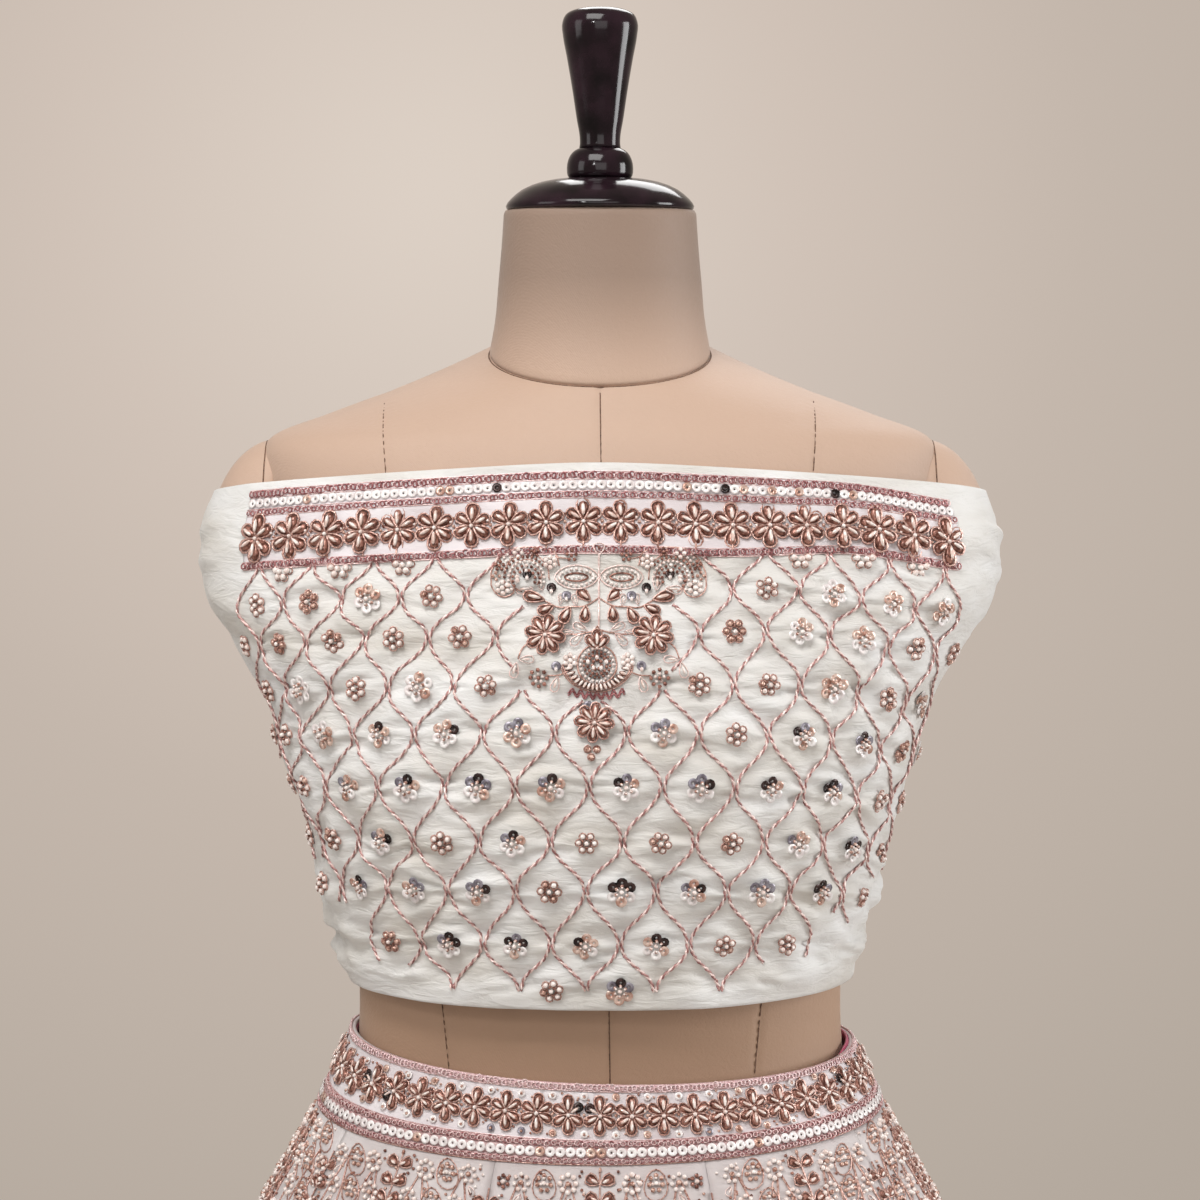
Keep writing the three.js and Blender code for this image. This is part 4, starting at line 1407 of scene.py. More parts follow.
def make_border_flowers():
    work = Needlework(BLOUSE)
    s, z = border_path(25.9)
    across = BLOUSE.point(s, z)[:, 0]
    even = np.linspace(across[0] + 8.2, across[-1] - 8.2, BORDER_FLOWERS)
    run = np.interp(even, across, s)
    level = np.interp(run, s, z)
    scale = (np.gradient(run) / 19.0) ** 0.6
    for place, height, grown in zip(run, level, scale):
        turns = np.radians(SIX_PETALS[:, 0] + rng.normal(0, 2.5, 6))
        lengths = SIX_PETALS[:, 1] * rng.uniform(0.94, 1.02, 6) * grown
        work.petals(place, height, turns, lengths, 0.95, 1.9)
        work.put("pearl", place, height, size=2.4, out=3.1)
        work.strand(np.full(4, place), np.linspace(height - 9, 1.2 + np.interp(place, s, z) - 14.4, 4),
                    0.55, LOOP, 4, 1.2)
    between = (run[1:] + run[:-1]) / 2
    middle = np.interp(between, s, z)
    for ds, dz, kind, size in BETWEEN_FLOWERS:
        work.put(kind, between + ds, middle + dz, size=size, out=1.7)
    work.make("border_flowers")


def lens(s, z, half_length, half_height, count=26):
    t = np.linspace(0, 2 * PI, count)
    return s + half_length * np.cos(t), z + half_height * np.sin(t) * np.abs(np.sin(t)) ** 0.25


# Central motif, right half: places from the middle line, and heights. The left half is its mirror.
# Petals: along, height, degrees from up, length, width, and whether pale
MOTIF_PETALS = (
    (4.0, 1300.8, 48, 9.0, 0.95, False),
    (6.5, 1299.2, 174, 9.0, 0.95, False),
    (11.5, 1298.4, 12, 6.5, 0.8, True),
    (14.4, 1298.4, 152, 9.6, 0.95, False),
    (20.0, 1299.0, -8, 6.0, 0.8, True),
    (22.5, 1299.0, 116, 9.2, 0.95, False),
    (27.0, 1301.5, 76, 11.5, 0.8, False),
    (29.6, 1305.8, 5, 8.0, 0.95, True),
    (33.5, 1307.0, 96, 9.0, 0.8, True),
    (5.5, 1285.6, 62, 8.5, 0.8, True),
    (8.0, 1284.8, 134, 8.5, 0.8, True),
    (12.5, 1285.2, 88, 6.5, 0.7, True),
    (20.5, 1263.6, 162, 8.5, 0.85, True),
    (40.8, 1271.6, -88, 8.0, 0.8, True),
    (41.4, 1270.6, 166, 8.5, 0.85, True),
)
# Cords: radius, then places along them
MOTIF_CORDS = (
    (0.42, (0, 1302.4), (7.3, 1298.6), (14.4, 1298.2), (20.7, 1297.9), (27, 1300.8), (35, 1303.9)),
    (0.42, (0, 1286.6), (6, 1285.2), (12, 1284.2), (17.5, 1284.5)),
    (0.42, (15.5, 1266), (20, 1264), (26.5, 1263.4)),
    (0.42, (35.3, 1280.4), (38.6, 1277.6), (40.8, 1272.0)),
    (0.42, (14.5, 1322.2), (18.5, 1322.6), (22.4, 1323.4)),
    (0.42, (20.4, 1318.5), (22.3, 1325), (29.4, 1327.4), (36.5, 1328), (44.4, 1326.8),
     (51.6, 1321.9), (55.3, 1312), (53, 1304.8), (49.1, 1302.8), (43.9, 1305.2), (43.2, 1308.6)),
    (0.36, (31.6, 1309.0), (29.4, 1313), (30.5, 1318), (34, 1321.3), (38.6, 1321.7), (43.3, 1318.9),
     (45.2, 1313.6), (43.6, 1308.4), (40, 1305.4)),
    (0.36, (25.6, 1311.6), (26.6, 1318.6), (32.2, 1324.1), (39.4, 1324.7), (46, 1320.8),
     (48.6, 1314)),
)
# Groups of beads: along, height, kind, size of a bead, radius of the group and how many
MOTIF_GROUPS = (
    (24.9, 1320.6, "pearl", 2.9, 2.6, 6),
    (33.0, 1325.6, "bronze_seed", 2.2, 1.9, 5),
    (41.6, 1325.0, "pearl", 2.6, 1.9, 4),
    (49.0, 1307.6, "pearl", 3.0, 2.9, 6),
    (50.6, 1318.6, "bronze_seed", 2.3, 2.0, 5),
    (47.2, 1322.6, "white_seed", 2.1, 1.6, 4),
    (52.4, 1313.4, "seed", 2.2, 1.7, 4),
    (14.0, 1323.8, "bronze_seed", 2.3, 2.4, 5),
    (14.6, 1271.2, "pearl", 3.1, 2.7, 6),
    (30.8, 1262.2, "bronze_seed", 2.7, 4.3, 8),
    (30.8, 1262.2, "white_seed", 2.3, 2.2, 5),
    (36.9, 1317.6, "white_seed", 2.4, 1.3, 2),
    (41.4, 1312.2, "pearl", 2.8, 0.9, 2),
)
MOTIF_SEQUINS = ((24.3, 1307.6, "dark"), (36.4, 1314.4, "dark"), (16.6, 1303.6, "smoke"),
                 (21.6, 1268.4, "smoke"))


def make_motif():
    """Central motif: stem, eye leaves, fans, garland, domed fan and hanging flower"""
    work = Needlework(BLOUSE)
    middle = -0.5
    stem = path_points([(middle, 1325), (middle, 1305), (middle, 1286.5)])
    work.strand(stem[:, 0], stem[:, 1], 0.5, CORD_PALE, 5, 0.7)
    work.put("pink_outline", middle, 1324, size=(9, 6.5, 7), out=1.1)
    work.put("bronze_seed", middle, 1328, size=2.0, out=1.6)
    for side in (-1, 1):
        at = lambda along: middle + side * np.asarray(along)
        for along, z, degrees, length, wide, pale in MOTIF_PETALS:
            work.petals(at(along), z, side * math.radians(degrees), length, wide, 1.6, pale)
        for radius, *places in MOTIF_CORDS:
            path = path_points(places, 1.0)
            work.strand(at(path[:, 0]), path[:, 1], radius, LOOP, 5, 0.9)
        for along, z, kind, size, radius, count in MOTIF_GROUPS:
            around = turn_about(along, z, radius, np.arange(count) * 2 * PI / count)
            work.put(kind, at(around[0]), around[1], size=size, out=1.5)
            if count > 4:
                work.put(kind, at(along), z, size=size, out=1.9)
        for along, z, kind in MOTIF_SEQUINS:
            work.put(kind, at(along), z, size=5.2, out=1.0)
            # The small white bead under each sequin stands for the white glint there: a painted
            # highlight
            work.put("pearl", at(along), z - 1.6, size=(2.0, 2.8, 2.0), out=1.9)
        make_eye_leaf(work, at(11.6), 1313.0)
        # Arcs of beads inside the fan
        for radius, kind, size, low, high in (
            (4.6, "bronze_seed", 2.1, -110, 100), (9.0, "white_seed", 2.0, -100, 125),
            (6.8, "bronze_seed", 2.0, -105, 120), (11.2, "bronze_seed", 2.0, -50, 110),
        ):
            fan = np.radians(np.linspace(low, high, int(math.radians(high - low) * radius / 2.1)))
            work.put(kind, at(37.0 + radius * np.sin(fan)), 1312.0 + radius * np.cos(fan),
                     size=size, out=1.5)
        bead_flower(work, at(27.3), 1284.3, 8, 10.3, 0.2, wide=0.82)
    make_domed_fan(work, middle - 1.0, 1269.2)
    bead_flower(work, middle - 2.4, 1240.2, 8, 10.0, 0.1, wide=0.82)
    work.put("smoke", middle - 5.5, 1248.0, size=5.6, out=0.8)
    for ds, z in ((-5.7, 1226.6), (-1.1, 1226.4), (-3.9, 1222.6)):
        work.put("rose_pearl", middle + ds, z, size=3.4, out=1.6)
        work.put("ring", middle + ds, z, size=4.0, out=0.9)
    work.make("central_motif")


def make_eye_leaf(work, s0, z0):
    """Leaf with a round of pearls inside its outline and a slit of gold beads"""
    s, z = lens(s0, z0, 11.2, 5.9, 34)
    work.strand(s, z, 0.42, CORD_PALE, 4, 0.8)
    s, z = lens(s0, z0, 8.9, 4.1, 21)
    work.put("white_seed", s[:-1], z[:-1], size=2.1, out=1.4)
    s, z = lens(s0, z0, 6.0, 2.0, 24)
    work.strand(s, z, 0.5, BRONZE, 4, 1.0)
    work.put("white_seed", s0 + np.linspace(-3.6, 3.6, 4), np.full(4, z0), size=1.6, out=1.6)


def make_domed_fan(work, s0, z0):
    """Round fan of beads with three drops above it and a crescent of long beads below"""
    for radius, kind, size in ((2.4, "bronze_seed", 2.5), (4.8, "bronze_seed", 2.3),
                               (6.6, "bronze_seed", 2.0), (8.3, "white_seed", 1.9)):
        angles = np.arange(int(radius * 2 * PI / 2.15)) * 2 * PI / int(radius * 2 * PI / 2.15)
        work.put(kind, *turn_about(s0, z0, radius, angles), size=size, out=1.5)
    for ds, dz in ((-4.6, 1.4), (4.6, 1.4), (-1.8, -1.6), (2.0, -1.6), (0, 3.6)):
        work.put("pearl", s0 + ds, z0 + dz, size=(2.3, 3.0, 2.3), out=2.1)
    circle = np.linspace(0, 2 * PI, 50)
    work.strand(*turn_about(s0, z0, 9.9, circle), 0.5, LOOP, 4, 1.2)
    for turn, reach, dz in ((-0.62, 9.0, 7.4), (0.62, 9.0, 7.4), (0.0, 10.5, 7.6)):
        work.petals(s0, z0 + dz, turn, reach, 0.8, 1.9)
    work.put("seed", s0, z0 + 18.6, size=2.2, out=1.8)
    below = np.radians(np.linspace(-82, 82, 17))
    depth = 12.6 + 3.2 * (np.abs(below) / 1.43) ** 2
    for angle, reach in zip(below, depth):
        s, z = s0 + (reach - 4.4) * math.sin(angle), z0 - (reach - 4.4) * math.cos(angle)
        # Each long bead of the crescent is near white: a painted highlight on the bronze drop under it
        work.put("pipe", s, z, turn=PI + angle, size=(7.5, 6.4, 7.5), out=1.2)
        work.put("petal", s, z, turn=PI + angle, size=(5.5, 5.2, 5.0), out=0.9)
    edge = np.radians(np.linspace(-90, 90, 44))
    for more, radius in ((1.2, 0.5), (2.3, 0.4)):
        outer = 12.8 + more + 3.4 * (np.abs(edge) / 1.57) ** 2
        work.strand(s0 + outer * np.sin(edge), z0 - outer * np.cos(edge) * 0.93, radius, LOOP, 4, 1.0)
    for ds in (-2.6, 2.6):
        work.put("clear", s0 + ds, z0 - 10.4, size=5.0, out=2.4)
        work.put("dark_seed", s0 + ds, z0 - 10.4, size=1.1, out=2.9)
    wave = np.linspace(-15, 14, 60)
    for drop, swing in ((15.2, 1.5), (16.6, 1.3)):
        z = z0 - drop + swing * np.cos(wave * 2 * PI / 4.2) + 0.01 * wave**2
        work.strand(s0 + wave, z, 0.45, PINK_CORD, 4, 0.9)


# Embroidery of the waistband
def band_path(share, count=400):
    angle = np.linspace(-PI, PI, count)
    z = band_top(angle) * (1 - share) + band_bottom(angle) * share
    return BAND.arc_at(angle, z), z


def make_band_cords():
    work = Needlework(BAND)
    s, z = band_path(0.03)
    cord_row(work, s, z, 2.3, ("braid", "pale_scallop"), 2.9, 3.2)
    for share, height in ((0.735, 2.6), (0.955, 2.6)):
        s, z = band_path(share)
        cord_row(work, s, z, 2.0, ("scallop", "pale_scallop"), 2.8, height)
    for share, material in ((0.0, PINK_EDGE), (0.075, PINK_PALE), (0.69, PINK_PALE), (1.0, LOOP)):
        s, z = band_path(share)
        work.strand(s, z, 0.36, material, 3, 0.6)
    work.make("waistband_cords")


def make_band_sequins():
    work = Needlework(BAND)
    s, z = band_path(0.845)
    work.tape(s[::2], z[::2], 5.4, PINK_TAPE, 0.4)
    sequin_row(work, s, z, 5.3, 5.5, -0.04)
    work.make("waistband_sequins")


def make_band_flowers():
    work = Needlework(BAND)
    s, z = band_path(0.375)
    run = s[0] + (np.arange(BAND_FLOWERS) + 0.5) * (s[-1] - s[0]) / BAND_FLOWERS
    level = np.interp(run, s, z)
    for place, height in zip(run, level):
        dark_petal = rng.integers(0, 12)
        for m, (degrees, length) in enumerate(SIX_PETALS):
            angle = math.radians(degrees + rng.normal(0, 3))
            if m == dark_petal and m in (1, 2, 4):
                work.put("dark", *turn_about(place, height, 6.4, angle), size=5.6, out=1.2)
                # The long bead by the sequin is its near-white painted highlight
                work.put("pipe", place, height, turn=-angle, size=8, out=1.6)
                continue
            work.petals(place, height, angle, length * 0.88, 0.9, 1.2)
        work.put("pearl", place, height, size=2.5, out=2.5)
    between = (run + np.roll(run, -1)) / 2
    between[-1] = s[-1]
    middle = np.interp(between, s, z)
    for ds, dz, kind, size in BETWEEN_FLOWERS:
        work.put(kind, between + ds * 0.85, middle + dz, size=size * 0.95, out=1.0)
    for dz in (9.0, -9.4):
        kinds = rng.choice(["clear", "blush", "smoke"], len(between), p=[0.5, 0.35, 0.15])
        for kind in ("clear", "blush", "smoke"):
            mine = kinds == kind
            work.put(kind, between[mine], middle[mine] + dz, size=4.3, out=0.7)
        work.put("seed", between, middle + dz, size=1.9, out=1.3)
    # Small beads that fill the ground between the flowers
    along = rng.uniform(s[0], s[-1], BAND_BEADS)
    level = np.interp(along, s, z) + rng.uniform(-BAND_BEADS_REACH, BAND_BEADS_REACH, BAND_BEADS)
    for m, kind in enumerate(("seed", "bronze_seed", "white_seed", "seed")):
        work.put(kind, along[m::4], level[m::4], size=1.6, out=0.5)
    work.make("waistband_flowers")


# Embroidery of the skirt
# Motifs across one panel at its top: distance from the panel's middle and what stands there
TOP_ROW = ((16.6, "pearls"), (29.0, "cluster"), (41.0, "ring"), (50.5, "clump"), (62.0, "cluster"))


def kali_middle(k):
    angle = k * 2 * PI / KALIS
    return angle - 2 * PI if angle > PI else angle


def kali_place(k, share, z):
    """Place on the skirt at a share of half a panel's width from its middle"""
    angle = kali_middle(k) + share * PI / KALIS
    return SKIRT.arc_at(np.arctan2(np.sin(angle), np.cos(angle)), z)


def leaf_stack(work, k, share, top, tiers, pitch, size, fine):
    """Pairs of leaves up a stem along one line of the skirt, each with its long near-white bead as a
    painted highlight
    """
    z = top - np.arange(tiers) * pitch
    s = kali_place(k, share, z)
    for side in (-1, 1):
        turn = -side * math.radians(60)
        leaf = (size * 1.25, size, size * 0.7)
        work.put("leaf", s, z, turn=turn, size=leaf, out=0.9)
        if fine:
            work.put("leaf_edge", s, z, turn=turn, size=leaf, out=0.8)
            work.put("pipe", s, z, turn=turn, size=(size, size * 0.8, size), out=1.0)
            tips = (s + side * size * 1.15, z + size * 0.75)
            work.put("bronze_seed", *tips, size=2.0, out=0.9)
    step = 6 if fine else 14
    path = np.linspace(top + pitch * 0.9, top - tiers * pitch, int(tiers * pitch / step))
    work.strand(kali_place(k, share, path), path, 0.6, LOOP, 3, 0.7)


def bead_ring(work, s, z, radius, count, size, kind="white_seed", middle="seed"):
    """Ring of beads round one, at many places at once"""
    s, z = np.atleast_1d(s).astype(float), np.atleast_1d(z).astype(float)
    for m in range(count):
        ds, dz = turn_about(0.0, 0.0, radius, m * 2 * PI / count)
        work.put(kind, s + ds, z + dz, size=size, out=1.0)
    work.put(middle, s, z, size=size, out=1.5)


def ogee(work, s, z, half_width, half_height):
    """Pointed oval frame of cord round a knot of beads"""
    t = np.linspace(0, 2 * PI, 15)
    width = half_width * np.sin(t) * (1 - 0.18 * np.cos(t))
    work.strand(s + width, z + half_height * np.cos(t), 0.45, LOOP, 3, 0.7)


def make_skirt_top():
    """The stretch under the waistband, worked as closely as the photo shows it"""
    work = Needlework(SKIRT)
    for k in range(KALIS):
        top = float(skirt_top(kali_middle(k))) - 9
        behind = abs(kali_middle(k)) > PI / 2
        leaf_stack(work, k, 0.0, top, 10, 8.6, 8.2, True)
        leaf_stack(work, k, 1.0, top - 14, 8, 9.6, 7.4, True)
        work.put("seed", kali_place(k, 0.0, top + 7), top + 7, size=(2.0, 3.6, 2.0), out=1.0)
        for row in range(TOP_ROWS):
            level = top + 0.5 - row * TOP_PITCH
            widen = 1 + 0.12 * row
            for place, kind in TOP_ROW:
                place = place * widen - (6.5 if row % 2 else 0.0)
                half = 0.9 * abs(float(kali_place(k, 1.0, level) - kali_place(k, 0.0, level)))
                if place > half:
                    continue
                for side in (-1, 1):
                    s = float(kali_place(k, 0.0, level)) + side * place
                    top_work(work, s, level, side, kind, row)
        scatter_seeds(work, k, top + 5, top - 78, SEEDS_BEHIND if behind else SEEDS_IN_FRONT)
        scatter_seeds(work, k, top - 78, top - 140, SEEDS_BELOW)
    work.make("skirt_top_embroidery")


def top_work(work, s, level, side, kind, row):
    """One small motif of the close work under the waistband"""
    if kind == "pearls":
        bead_ring(work, s, level, 4.1, 8, 3.2, "pearl" if row == 0 else "white_seed")
        stem = np.linspace(level - 4.5, level - 13, 5)
        bend = side * 1.6 * np.sin(np.linspace(0, PI, 5))
        work.strand(s + bend, stem, 0.42, LOOP, 3, 0.6)
    elif kind == "cluster":
        bead_ring(work, s, level, 3.6, 7, 3.0, "seed", "white_seed")
        bead_ring(work, s, level + 0.4, 1.9, 3, 2.2, "white_seed", "bronze_seed")
        ogee(work, s, level - 1.0, 6.2, 7.4)
    elif kind == "ring":
        bead_ring(work, s, level, 3.7, 7, 3.0, "white_seed", "rose_pearl")
        work.petals(s, level - 5.5, side * 2.6, 6.0, 0.9, 0.9, True)
    else:
        bead_ring(work, s, level, 2.6, 6, 2.8, "bronze_seed", "pearl")


def scatter_seeds(work, k, high, low, count):
    """Single small beads that fill the ground between the motifs of one panel"""
    z = rng.uniform(low, high, count)
    s = kali_place(k, rng.uniform(-0.97, 0.97, count), z)
    for m, kind in enumerate(("seed", "bronze_seed", "white_seed")):
        work.put(kind, s[m::3], z[m::3], size=1.9, out=0.6)


def make_skirt_vines():
    """Pairs of wavy vines down each panel, closing into ogees that widen towards the hem"""
    work = Needlework(SKIRT)
    z = np.arange(VINE_TOP, VINE_BOTTOM, -VINE_STEP)
    for k in range(KALIS):
        for lane in VINE_LANES:
            for side in (-1, 1):
                for way in (-1, 1):
                    wave = way * VINE_SWING * np.sin((1000 - z) ** 0.93 * 2 * PI / VINE_WAVE)
                    s = kali_place(k, (lane + wave) * side, z)
                    work.strand(s, z, 0.7, LOOP, 3, 0.5)
    work.make("skirt_vines")


def make_skirt_leaves():
    work = Needlework(SKIRT)
    for k in range(KALIS):
        for stem in LEAF_STEMS:
            leaf_stack(work, k, *stem, False)
    work.make("skirt_leaf_stems")


def make_skirt_flowers(name, high, low):
    """Bead flowers in staggered rows, as many across as the panel's width holds"""
    work = Needlework(SKIRT)
    level = high
    row = 0
    while level > low:
        for k in range(KALIS):
            left = float(kali_place(k, -0.9, level))
            right = float(kali_place(k, 0.9, level))
            if right < left:
                right += 2 * float(SKIRT.arc_at(PI, level))
            count = max(2, int((right - left) / FLOWER_ROOM))
            count += (count + row) % 2
            share = ((np.arange(count) + 0.5) / count * 2 - 1) * 0.9
            share = share[np.abs(share) > 0.12]
            s = kali_place(k, share, level)
            z = np.full(len(s), level)
            bead_ring(work, s, z, 5.6, 6, 5.2, "white_seed", "seed")
        level -= FLOWER_STEP + (high - level) * FLOWER_GROWTH
        row += 1
    work.make(name)


def make_skirt_hem():
    """Hem worked as the waistband is: a row of flowers between cords"""
    work = Needlework(SKIRT)
    angle = np.linspace(-PI, PI, 360)
    for z0, radius in HEM_CORDS:
        z = np.full(len(angle), z0)
        work.strand(SKIRT.arc_at(angle, z), z, radius, PINK_CORD, 4, 0.9)
    s = SKIRT.arc_at(angle, np.full(len(angle), HEM_MIDDLE))
    share = (np.arange(HEM_FLOWERS) + 0.5) / HEM_FLOWERS
    place = np.interp(share, np.linspace(0, 1, len(s)), s)
    z = np.full(HEM_FLOWERS, HEM_MIDDLE)
    for degrees, _ in SIX_PETALS:
        turn = -math.radians(degrees)
        work.put("leaf", place, z, turn=turn, size=(22, 22, 16), out=1.2)
    work.put("white_seed", place, z, size=5.2, out=2.6)
    work.make("skirt_hem_embroidery")


# Dress form
def stack_point(rings, level, angle, out=0.0):
    """Smooth surface through a stack of rings, at a level counted in rings"""
    level = np.asarray(level, float)
    last = len(rings) - 1
    i = np.clip(level.astype(int), 0, last - 1)
    t = (level - i)[..., None]
    pad = np.vstack([rings[0], rings, rings[-1]])
    before, start, end, after = pad[i], pad[i + 1], pad[i + 2], pad[i + 3]
    m0, m1 = (end - before) / 2, (after - start) / 2
    row = smooth_between(t, start, end, m0, m1)
    z, side, front, back, square, tilt = np.moveaxis(row, -1, 0)
    s, c = np.sin(angle), np.cos(angle)
    depth = np.where(c > 0, front, back) + out
    x = (side + out) * np.sign(s) * np.abs(s) ** (2 / square)
    y = -depth * np.sign(c) * np.abs(c) ** (2 / square)
    return stacked(x, y, z - tilt * c)


def seam_lines(z):
    """Places across the front of the seams down the form at a height"""
    lean = np.clip((1406 - z) / 346, 0, 1.2)
    return {"centre": 5.0 * lean, "right": 116 - 32 * lean, "left": -117 + 35 * lean}


def seam_groove(points):
    """How far the cover is drawn in at the seams"""
    x, z = points[..., 0], points[..., 2]
    groove = 0.0
    for place in seam_lines(z).values():
        groove = groove - 0.9 * np.exp(-(((x - place) / 1.7) ** 2))
    return groove


def make_form():
    angle = np.linspace(-PI, PI, FORM_COLUMNS, endpoint=False)[None, :]
    lower = [np.linspace(*rows, endpoint=False) for rows in FORM_LOWER_ROWS]
    levels = np.concatenate([*lower, np.linspace(*FORM_TOP_ROWS)])[:, None]
    base = stack_point(TORSO_RINGS, levels, angle)
    torso = stack_point(TORSO_RINGS, levels, angle, seam_groove(base))
    keep(ring_stack("form_cover_torso", torso, LINEN), "form_torso")

    angle = np.linspace(-PI, PI, 128, endpoint=False)[None, :]
    levels = np.linspace(0, 4, 28)[:, None]
    edge = -1.1 * np.exp(-((levels / 0.1) ** 2)) - 0.8 * np.exp(-(((levels - 4) / 0.06) ** 2))
    neck = stack_point(NECK_RINGS, levels, angle, edge)
    keep(ring_stack("form_cover_neck", neck, LINEN), "form_neck")


def make_caps():
    """Padded arm caps: half ovals whose flat sides stand on the shoulders of the form"""
    for name, side in (("left", -1), ("right", 1)):
        turn = np.linspace(0, 2 * PI, 80, endpoint=False)[None, :]
        share = np.linspace(0, 1, 24)[:, None]
        reach = np.cos(share * PI / 2 * 0.985)
        x = side * (CAP_CENTRE_X + CAP_RADII[0] * np.sin(share * PI / 2 * 0.985))
        y = CAP_RADII[1] * reach * np.cos(turn)
        height = np.where(np.sin(turn) > 0, *CAP_HEIGHTS)
        z = CAP_CENTRE_Z + height * reach * np.sin(turn)
        points = stacked(x, y, z)
        cap = ring_stack(f"form_cover_cap_{name}", points, LINEN)
        keep(cap, f"form_arm_cap_{name}")


def turned_piece(name, profile, material, node, sides=96):
    """Turned piece through a few places of radius and height, its corners eased"""
    profile = np.asarray(profile, float)
    turn = np.linspace(0, 2 * PI, sides, endpoint=False)[None, :]
    radius, z = profile[:, [0]], profile[:, [1]]
    points = stacked(radius * np.cos(turn), radius * np.sin(turn), z)
    keep(ring_stack(name, points, material), node)


def make_finial_and_stand():
    turned_piece("dish_turned", (
        (49.4, 1505.3), (50.2, 1505.4), (50.9, 1506.0), (51.3, 1507.4), (50.5, 1509.2),
        (48.6, 1511.4), (45.8, 1514.0), (42.5, 1516.4), (37.5, 1518.8), (32, 1520.6),
        (25.5, 1521.9), (19, 1522.6), (4, 1522.6),
    ), GLOSS, "form_dish")
    turned_piece("collar_turned", (
        (16, 1522.9), (16.8, 1523.0), (17.6, 1523.9), (18, 1525.4), (18.1, 1528), (17.9, 1530.4),
        (17.4, 1532.4), (16.5, 1534.6), (15.2, 1536.4), (13.8, 1537.6), (12.4, 1538.4), (12, 1538.6),
    ), GLOSS, "form_collar")
    handle = path_points([
        (11.3, 1538.9), (11.0, 1541), (11.1, 1545), (12.6, 1554), (15, 1570), (17.9, 1587),
        (20.1, 1599), (20.6, 1605.5), (18.6, 1610.6), (13, 1613.4), (5, 1614.3),
    ], 2.0)
    turned_piece("handle_turned", handle, GLOSS, "form_handle")
    turned_piece("pole_turned", (
        (15.4, 22.3), (16, 22.9), (16, 400), (16, 778), (17.5, 780.5), (26, 782.5), (44, 786),
        (47.4, 788), (48, 790), (48, 799), (47.4, 799.7), (40, 799.7),
    ), STAND_PAINT, "stand_pole")
    turned_piece("base_turned", (
        (198.5, 0), (199.6, 0.5), (200, 1.6), (200, 5.4), (199, 7.2), (194, 9.8), (130, 12.6),
        (60, 15), (44, 16.5), (34, 19), (30, 21.4), (28.5, 22), (20, 22),
    ), STAND_PAINT, "stand_base")


class FormSurface:
    """The torso's front as a place across and a height, for its stitching"""

    def __init__(self):
        self.levels = np.linspace(0, 17, 500)
        self.z_side = stack_point(TORSO_RINGS, self.levels, np.full(500, 0.0))[:, 2]

    def shape(self, x, z, out, back):
        level = np.interp(z, self.z_side, self.levels)
        angles = np.linspace(0, PI / 2, 400)
        points = np.empty((len(x), 3))
        for i, (place, lev) in enumerate(zip(x, level)):
            ring = stack_point(TORSO_RINGS, np.full(400, lev), PI - angles if back else angles, out)
            turn = np.interp(abs(place), ring[:, 0], angles)
            turn = math.copysign(PI - turn if back else turn, place if place else 1)
            points[i] = stack_point(TORSO_RINGS, np.array([lev]), np.array([turn]), out)[0]
        return points


def line_tube(path, radius, sides=4):
    """Thin round line along a path in space"""
    ahead = unit(np.gradient(path, axis=0))
    aside = unit(np.cross(ahead, [0.3, 0.9, 0.2]))
    lift = np.cross(aside, ahead)
    turn = np.linspace(0, 2 * PI, sides, endpoint=False)[None, :, None]
    rings = path[:, None] + radius * (aside[:, None] * np.cos(turn) + lift[:, None] * np.sin(turn))
    return rings.reshape(-1, 3), tube_faces(len(path), sides)


def cap_seam(side, back):
    """Line where an arm cap is sewn to the shoulder, up one face of the form"""
    z = np.linspace(1346, CAP_CENTRE_Z + CAP_HEIGHTS[0] * 0.985, 26)
    across = CAP_SEAM_X - CAP_CENTRE_X
    level = (z - CAP_CENTRE_Z) / CAP_HEIGHTS[0]
    reach = np.sqrt(np.maximum(0.0, 1 - (across / CAP_RADII[0]) ** 2 - level**2))
    y = (1 if back else -1) * (CAP_RADII[1] * reach + 0.1)
    return np.stack([np.full(len(z), side * CAP_SEAM_X), y, z], axis=1)


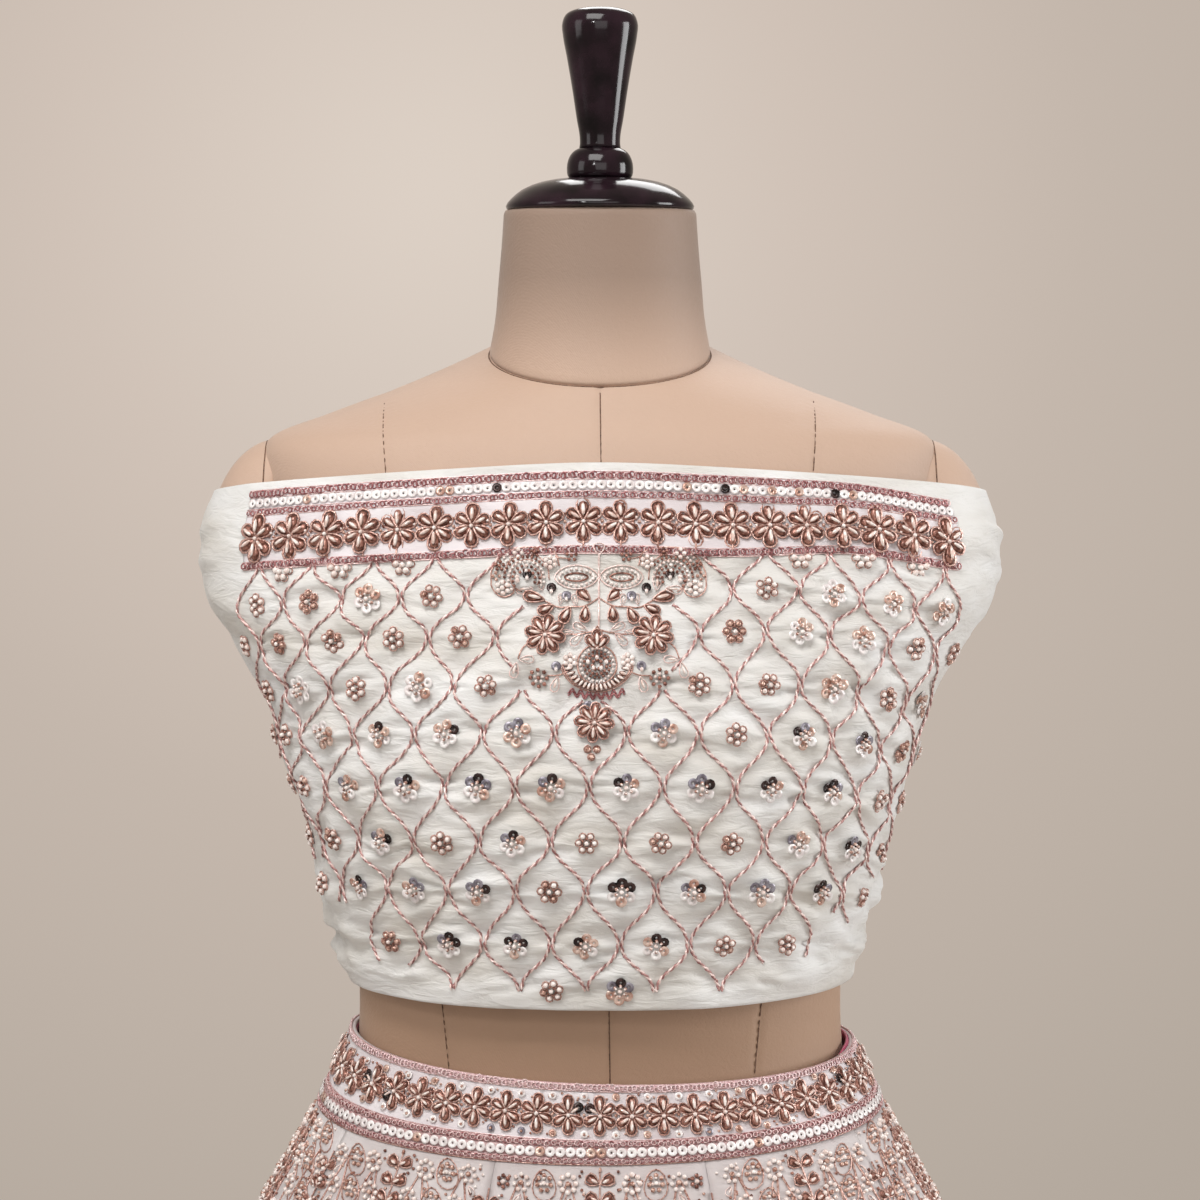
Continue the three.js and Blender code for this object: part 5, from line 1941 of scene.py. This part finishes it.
def make_seams():
    """Seams of the form: a thin dark line with stitches a little unevenly spaced"""
    surface = FormSurface()
    vertices, faces, count = [], [], 0
    angle = np.linspace(-PI, PI, 181)
    lines = [stack_point(TORSO_RINGS, np.full(181, 17.0), angle, -0.3)]
    for back in (False, True):
        lines += [cap_seam(-1, back), cap_seam(1, back)]
        for low, high in (WAIST_SEAMS, CHEST_SEAMS):
            for name in ("centre", "left", "right"):
                level = np.linspace(low, 1407 if name == "centre" and high > 1200 else high, 24)
                place = np.broadcast_to(seam_lines(level)[name], level.shape)
                lines.append(surface.shape(place, level, -0.95, back))
    for line in lines:
        tube, triangles = line_tube(line, 0.42)
        vertices.append(tube)
        faces.append(triangles + count)
        count += len(tube)
    shape, triangles = TEMPLATES["stitch"][0]
    for back in (False, True):
        for low, high in (WAIST_SEAMS, CHEST_STITCHES):
            for name in ("centre", "left", "right"):
                top = 1405.0 if name == "centre" else high + 2
                level = np.arange(low, top if high > 1200 else high, STITCH_PITCH)
                level = level + rng.normal(0, 0.25, len(level))
                place = np.broadcast_to(seam_lines(level)[name], level.shape)
                points = surface.shape(place, level, -0.35, back)
                ahead = unit(np.gradient(points, axis=0))
                across = np.tile([1.0, 0, 0], (len(points), 1))
                across = unit(across - ahead * np.sum(across * ahead, axis=1, keepdims=True))
                normal = np.cross(across, ahead)
                size = np.array([0.75, 3.0, 0.75])
                scaled = shape[:, [0, 2, 1]] * (1, 1, -1) * size
                placed = (
                    points[:, None] + across[:, None] * scaled[None, :, [0]]
                    + ahead[:, None] * scaled[None, :, [1]]
                    + normal[:, None] * scaled[None, :, [2]]
                )
                every = triangles[None] + (np.arange(len(points)) * len(shape))[:, None, None]
                vertices.append(placed.reshape(-1, 3))
                faces.append(every.reshape(-1, 3) + count)
                count += len(points) * len(shape)
    piece = mesh_object("form_seam_stitches", np.concatenate(vertices),
                        [np.concatenate(faces)], [SEAM])
    keep(piece)


# Room, lights and camera
def make_floor():
    turn = np.linspace(0, 2 * PI, 96, endpoint=False)
    vertices = np.concatenate([
        np.stack([FLOOR_RADIUS * np.cos(turn), FLOOR_RADIUS * np.sin(turn), np.zeros(96)], axis=1),
        [(0.0, 0.0, 0.0)],
    ])
    i = np.arange(96)
    faces = np.stack([i, (i + 1) % 96, np.full(96, 96)], axis=1)
    floor = mesh_object("floor", vertices, [faces], [floor_paint("floor_paint")])


def aim(thing, target):
    direction = np.array(target) - np.array(thing.location)
    flat = math.hypot(direction[0], direction[1])
    thing.rotation_euler = (
        math.atan2(flat, -direction[2]), 0, math.atan2(direction[1], direction[0]) - PI / 2
    )


def soft_light(name, place, size, power, color):
    data = bpy.data.lights.new(name, "AREA")
    data.shape = "RECTANGLE"
    data.size, data.size_y = size
    data.energy = power
    data.color = color
    light = bpy.data.objects.new(name, data)
    light.location = place
    bpy.context.scene.collection.objects.link(light)
    aim(light, BUST)


def make_backdrop():
    """World as a lit wall: brightest up and left of the form, dimmer away from it"""
    world = bpy.data.worlds.new("studio")
    bpy.context.scene.world = world
    world.use_nodes = True
    nodes, links = world.node_tree.nodes, world.node_tree.links
    source = nodes.new("ShaderNodeTexCoord")
    toward = nodes.new("ShaderNodeVectorMath")
    toward.operation = "DOT_PRODUCT"
    toward.inputs[1].default_value = GLOW_DIRECTION
    links.new(source.outputs["Generated"], toward.inputs[0])
    away = nodes.new("ShaderNodeMath")
    away.operation = "ARCCOSINE"
    links.new(toward.outputs["Value"], away.inputs[0])
    share = nodes.new("ShaderNodeMath")
    share.operation = "DIVIDE"
    share.inputs[1].default_value = PI
    links.new(away.outputs["Value"], share.inputs[0])
    ramp = nodes.new("ShaderNodeValToRGB")
    while len(ramp.color_ramp.elements) < len(BACKDROP):
        ramp.color_ramp.elements.new(0.5)
    for element, (degrees, color) in zip(ramp.color_ramp.elements, BACKDROP):
        element.position = degrees / 180
        element.color = srgb(*color)
    links.new(share.outputs["Value"], ramp.inputs["Fac"])
    links.new(ramp.outputs["Color"], nodes["Background"].inputs["Color"])


def make_lights():
    for light in LIGHTS:
        soft_light(*light)


def make_camera():
    data = bpy.data.cameras.new("camera")
    data.lens = CAMERA_LENS
    data.sensor_width = SENSOR
    camera = bpy.data.objects.new("camera", data)
    camera.location = (0, -CAMERA_DISTANCE, CAMERA_HEIGHT)
    camera.rotation_euler = (PI / 2 - CAMERA_PITCH, 0, 0)
    bpy.context.scene.collection.objects.link(camera)
    bpy.context.scene.camera = camera


make_form()
make_caps()
make_finial_and_stand()
make_seams()
make_blouse()
make_border_ground()
make_facing()
make_band()
make_kalis()
make_lattice()
make_flowers()
make_border_cords()
make_border_flowers()
make_motif()
make_band_cords()
make_band_sequins()
make_band_flowers()
make_skirt_top()
make_skirt_vines()
make_skirt_leaves()
make_skirt_flowers("skirt_flowers_high", 925.0, 520.0)
make_skirt_flowers("skirt_flowers_low", 515.0, 84.0)
make_skirt_hem()
make_floor()
make_backdrop()
make_lights()
make_camera()
bpy.context.scene.view_settings.view_transform = "Standard"
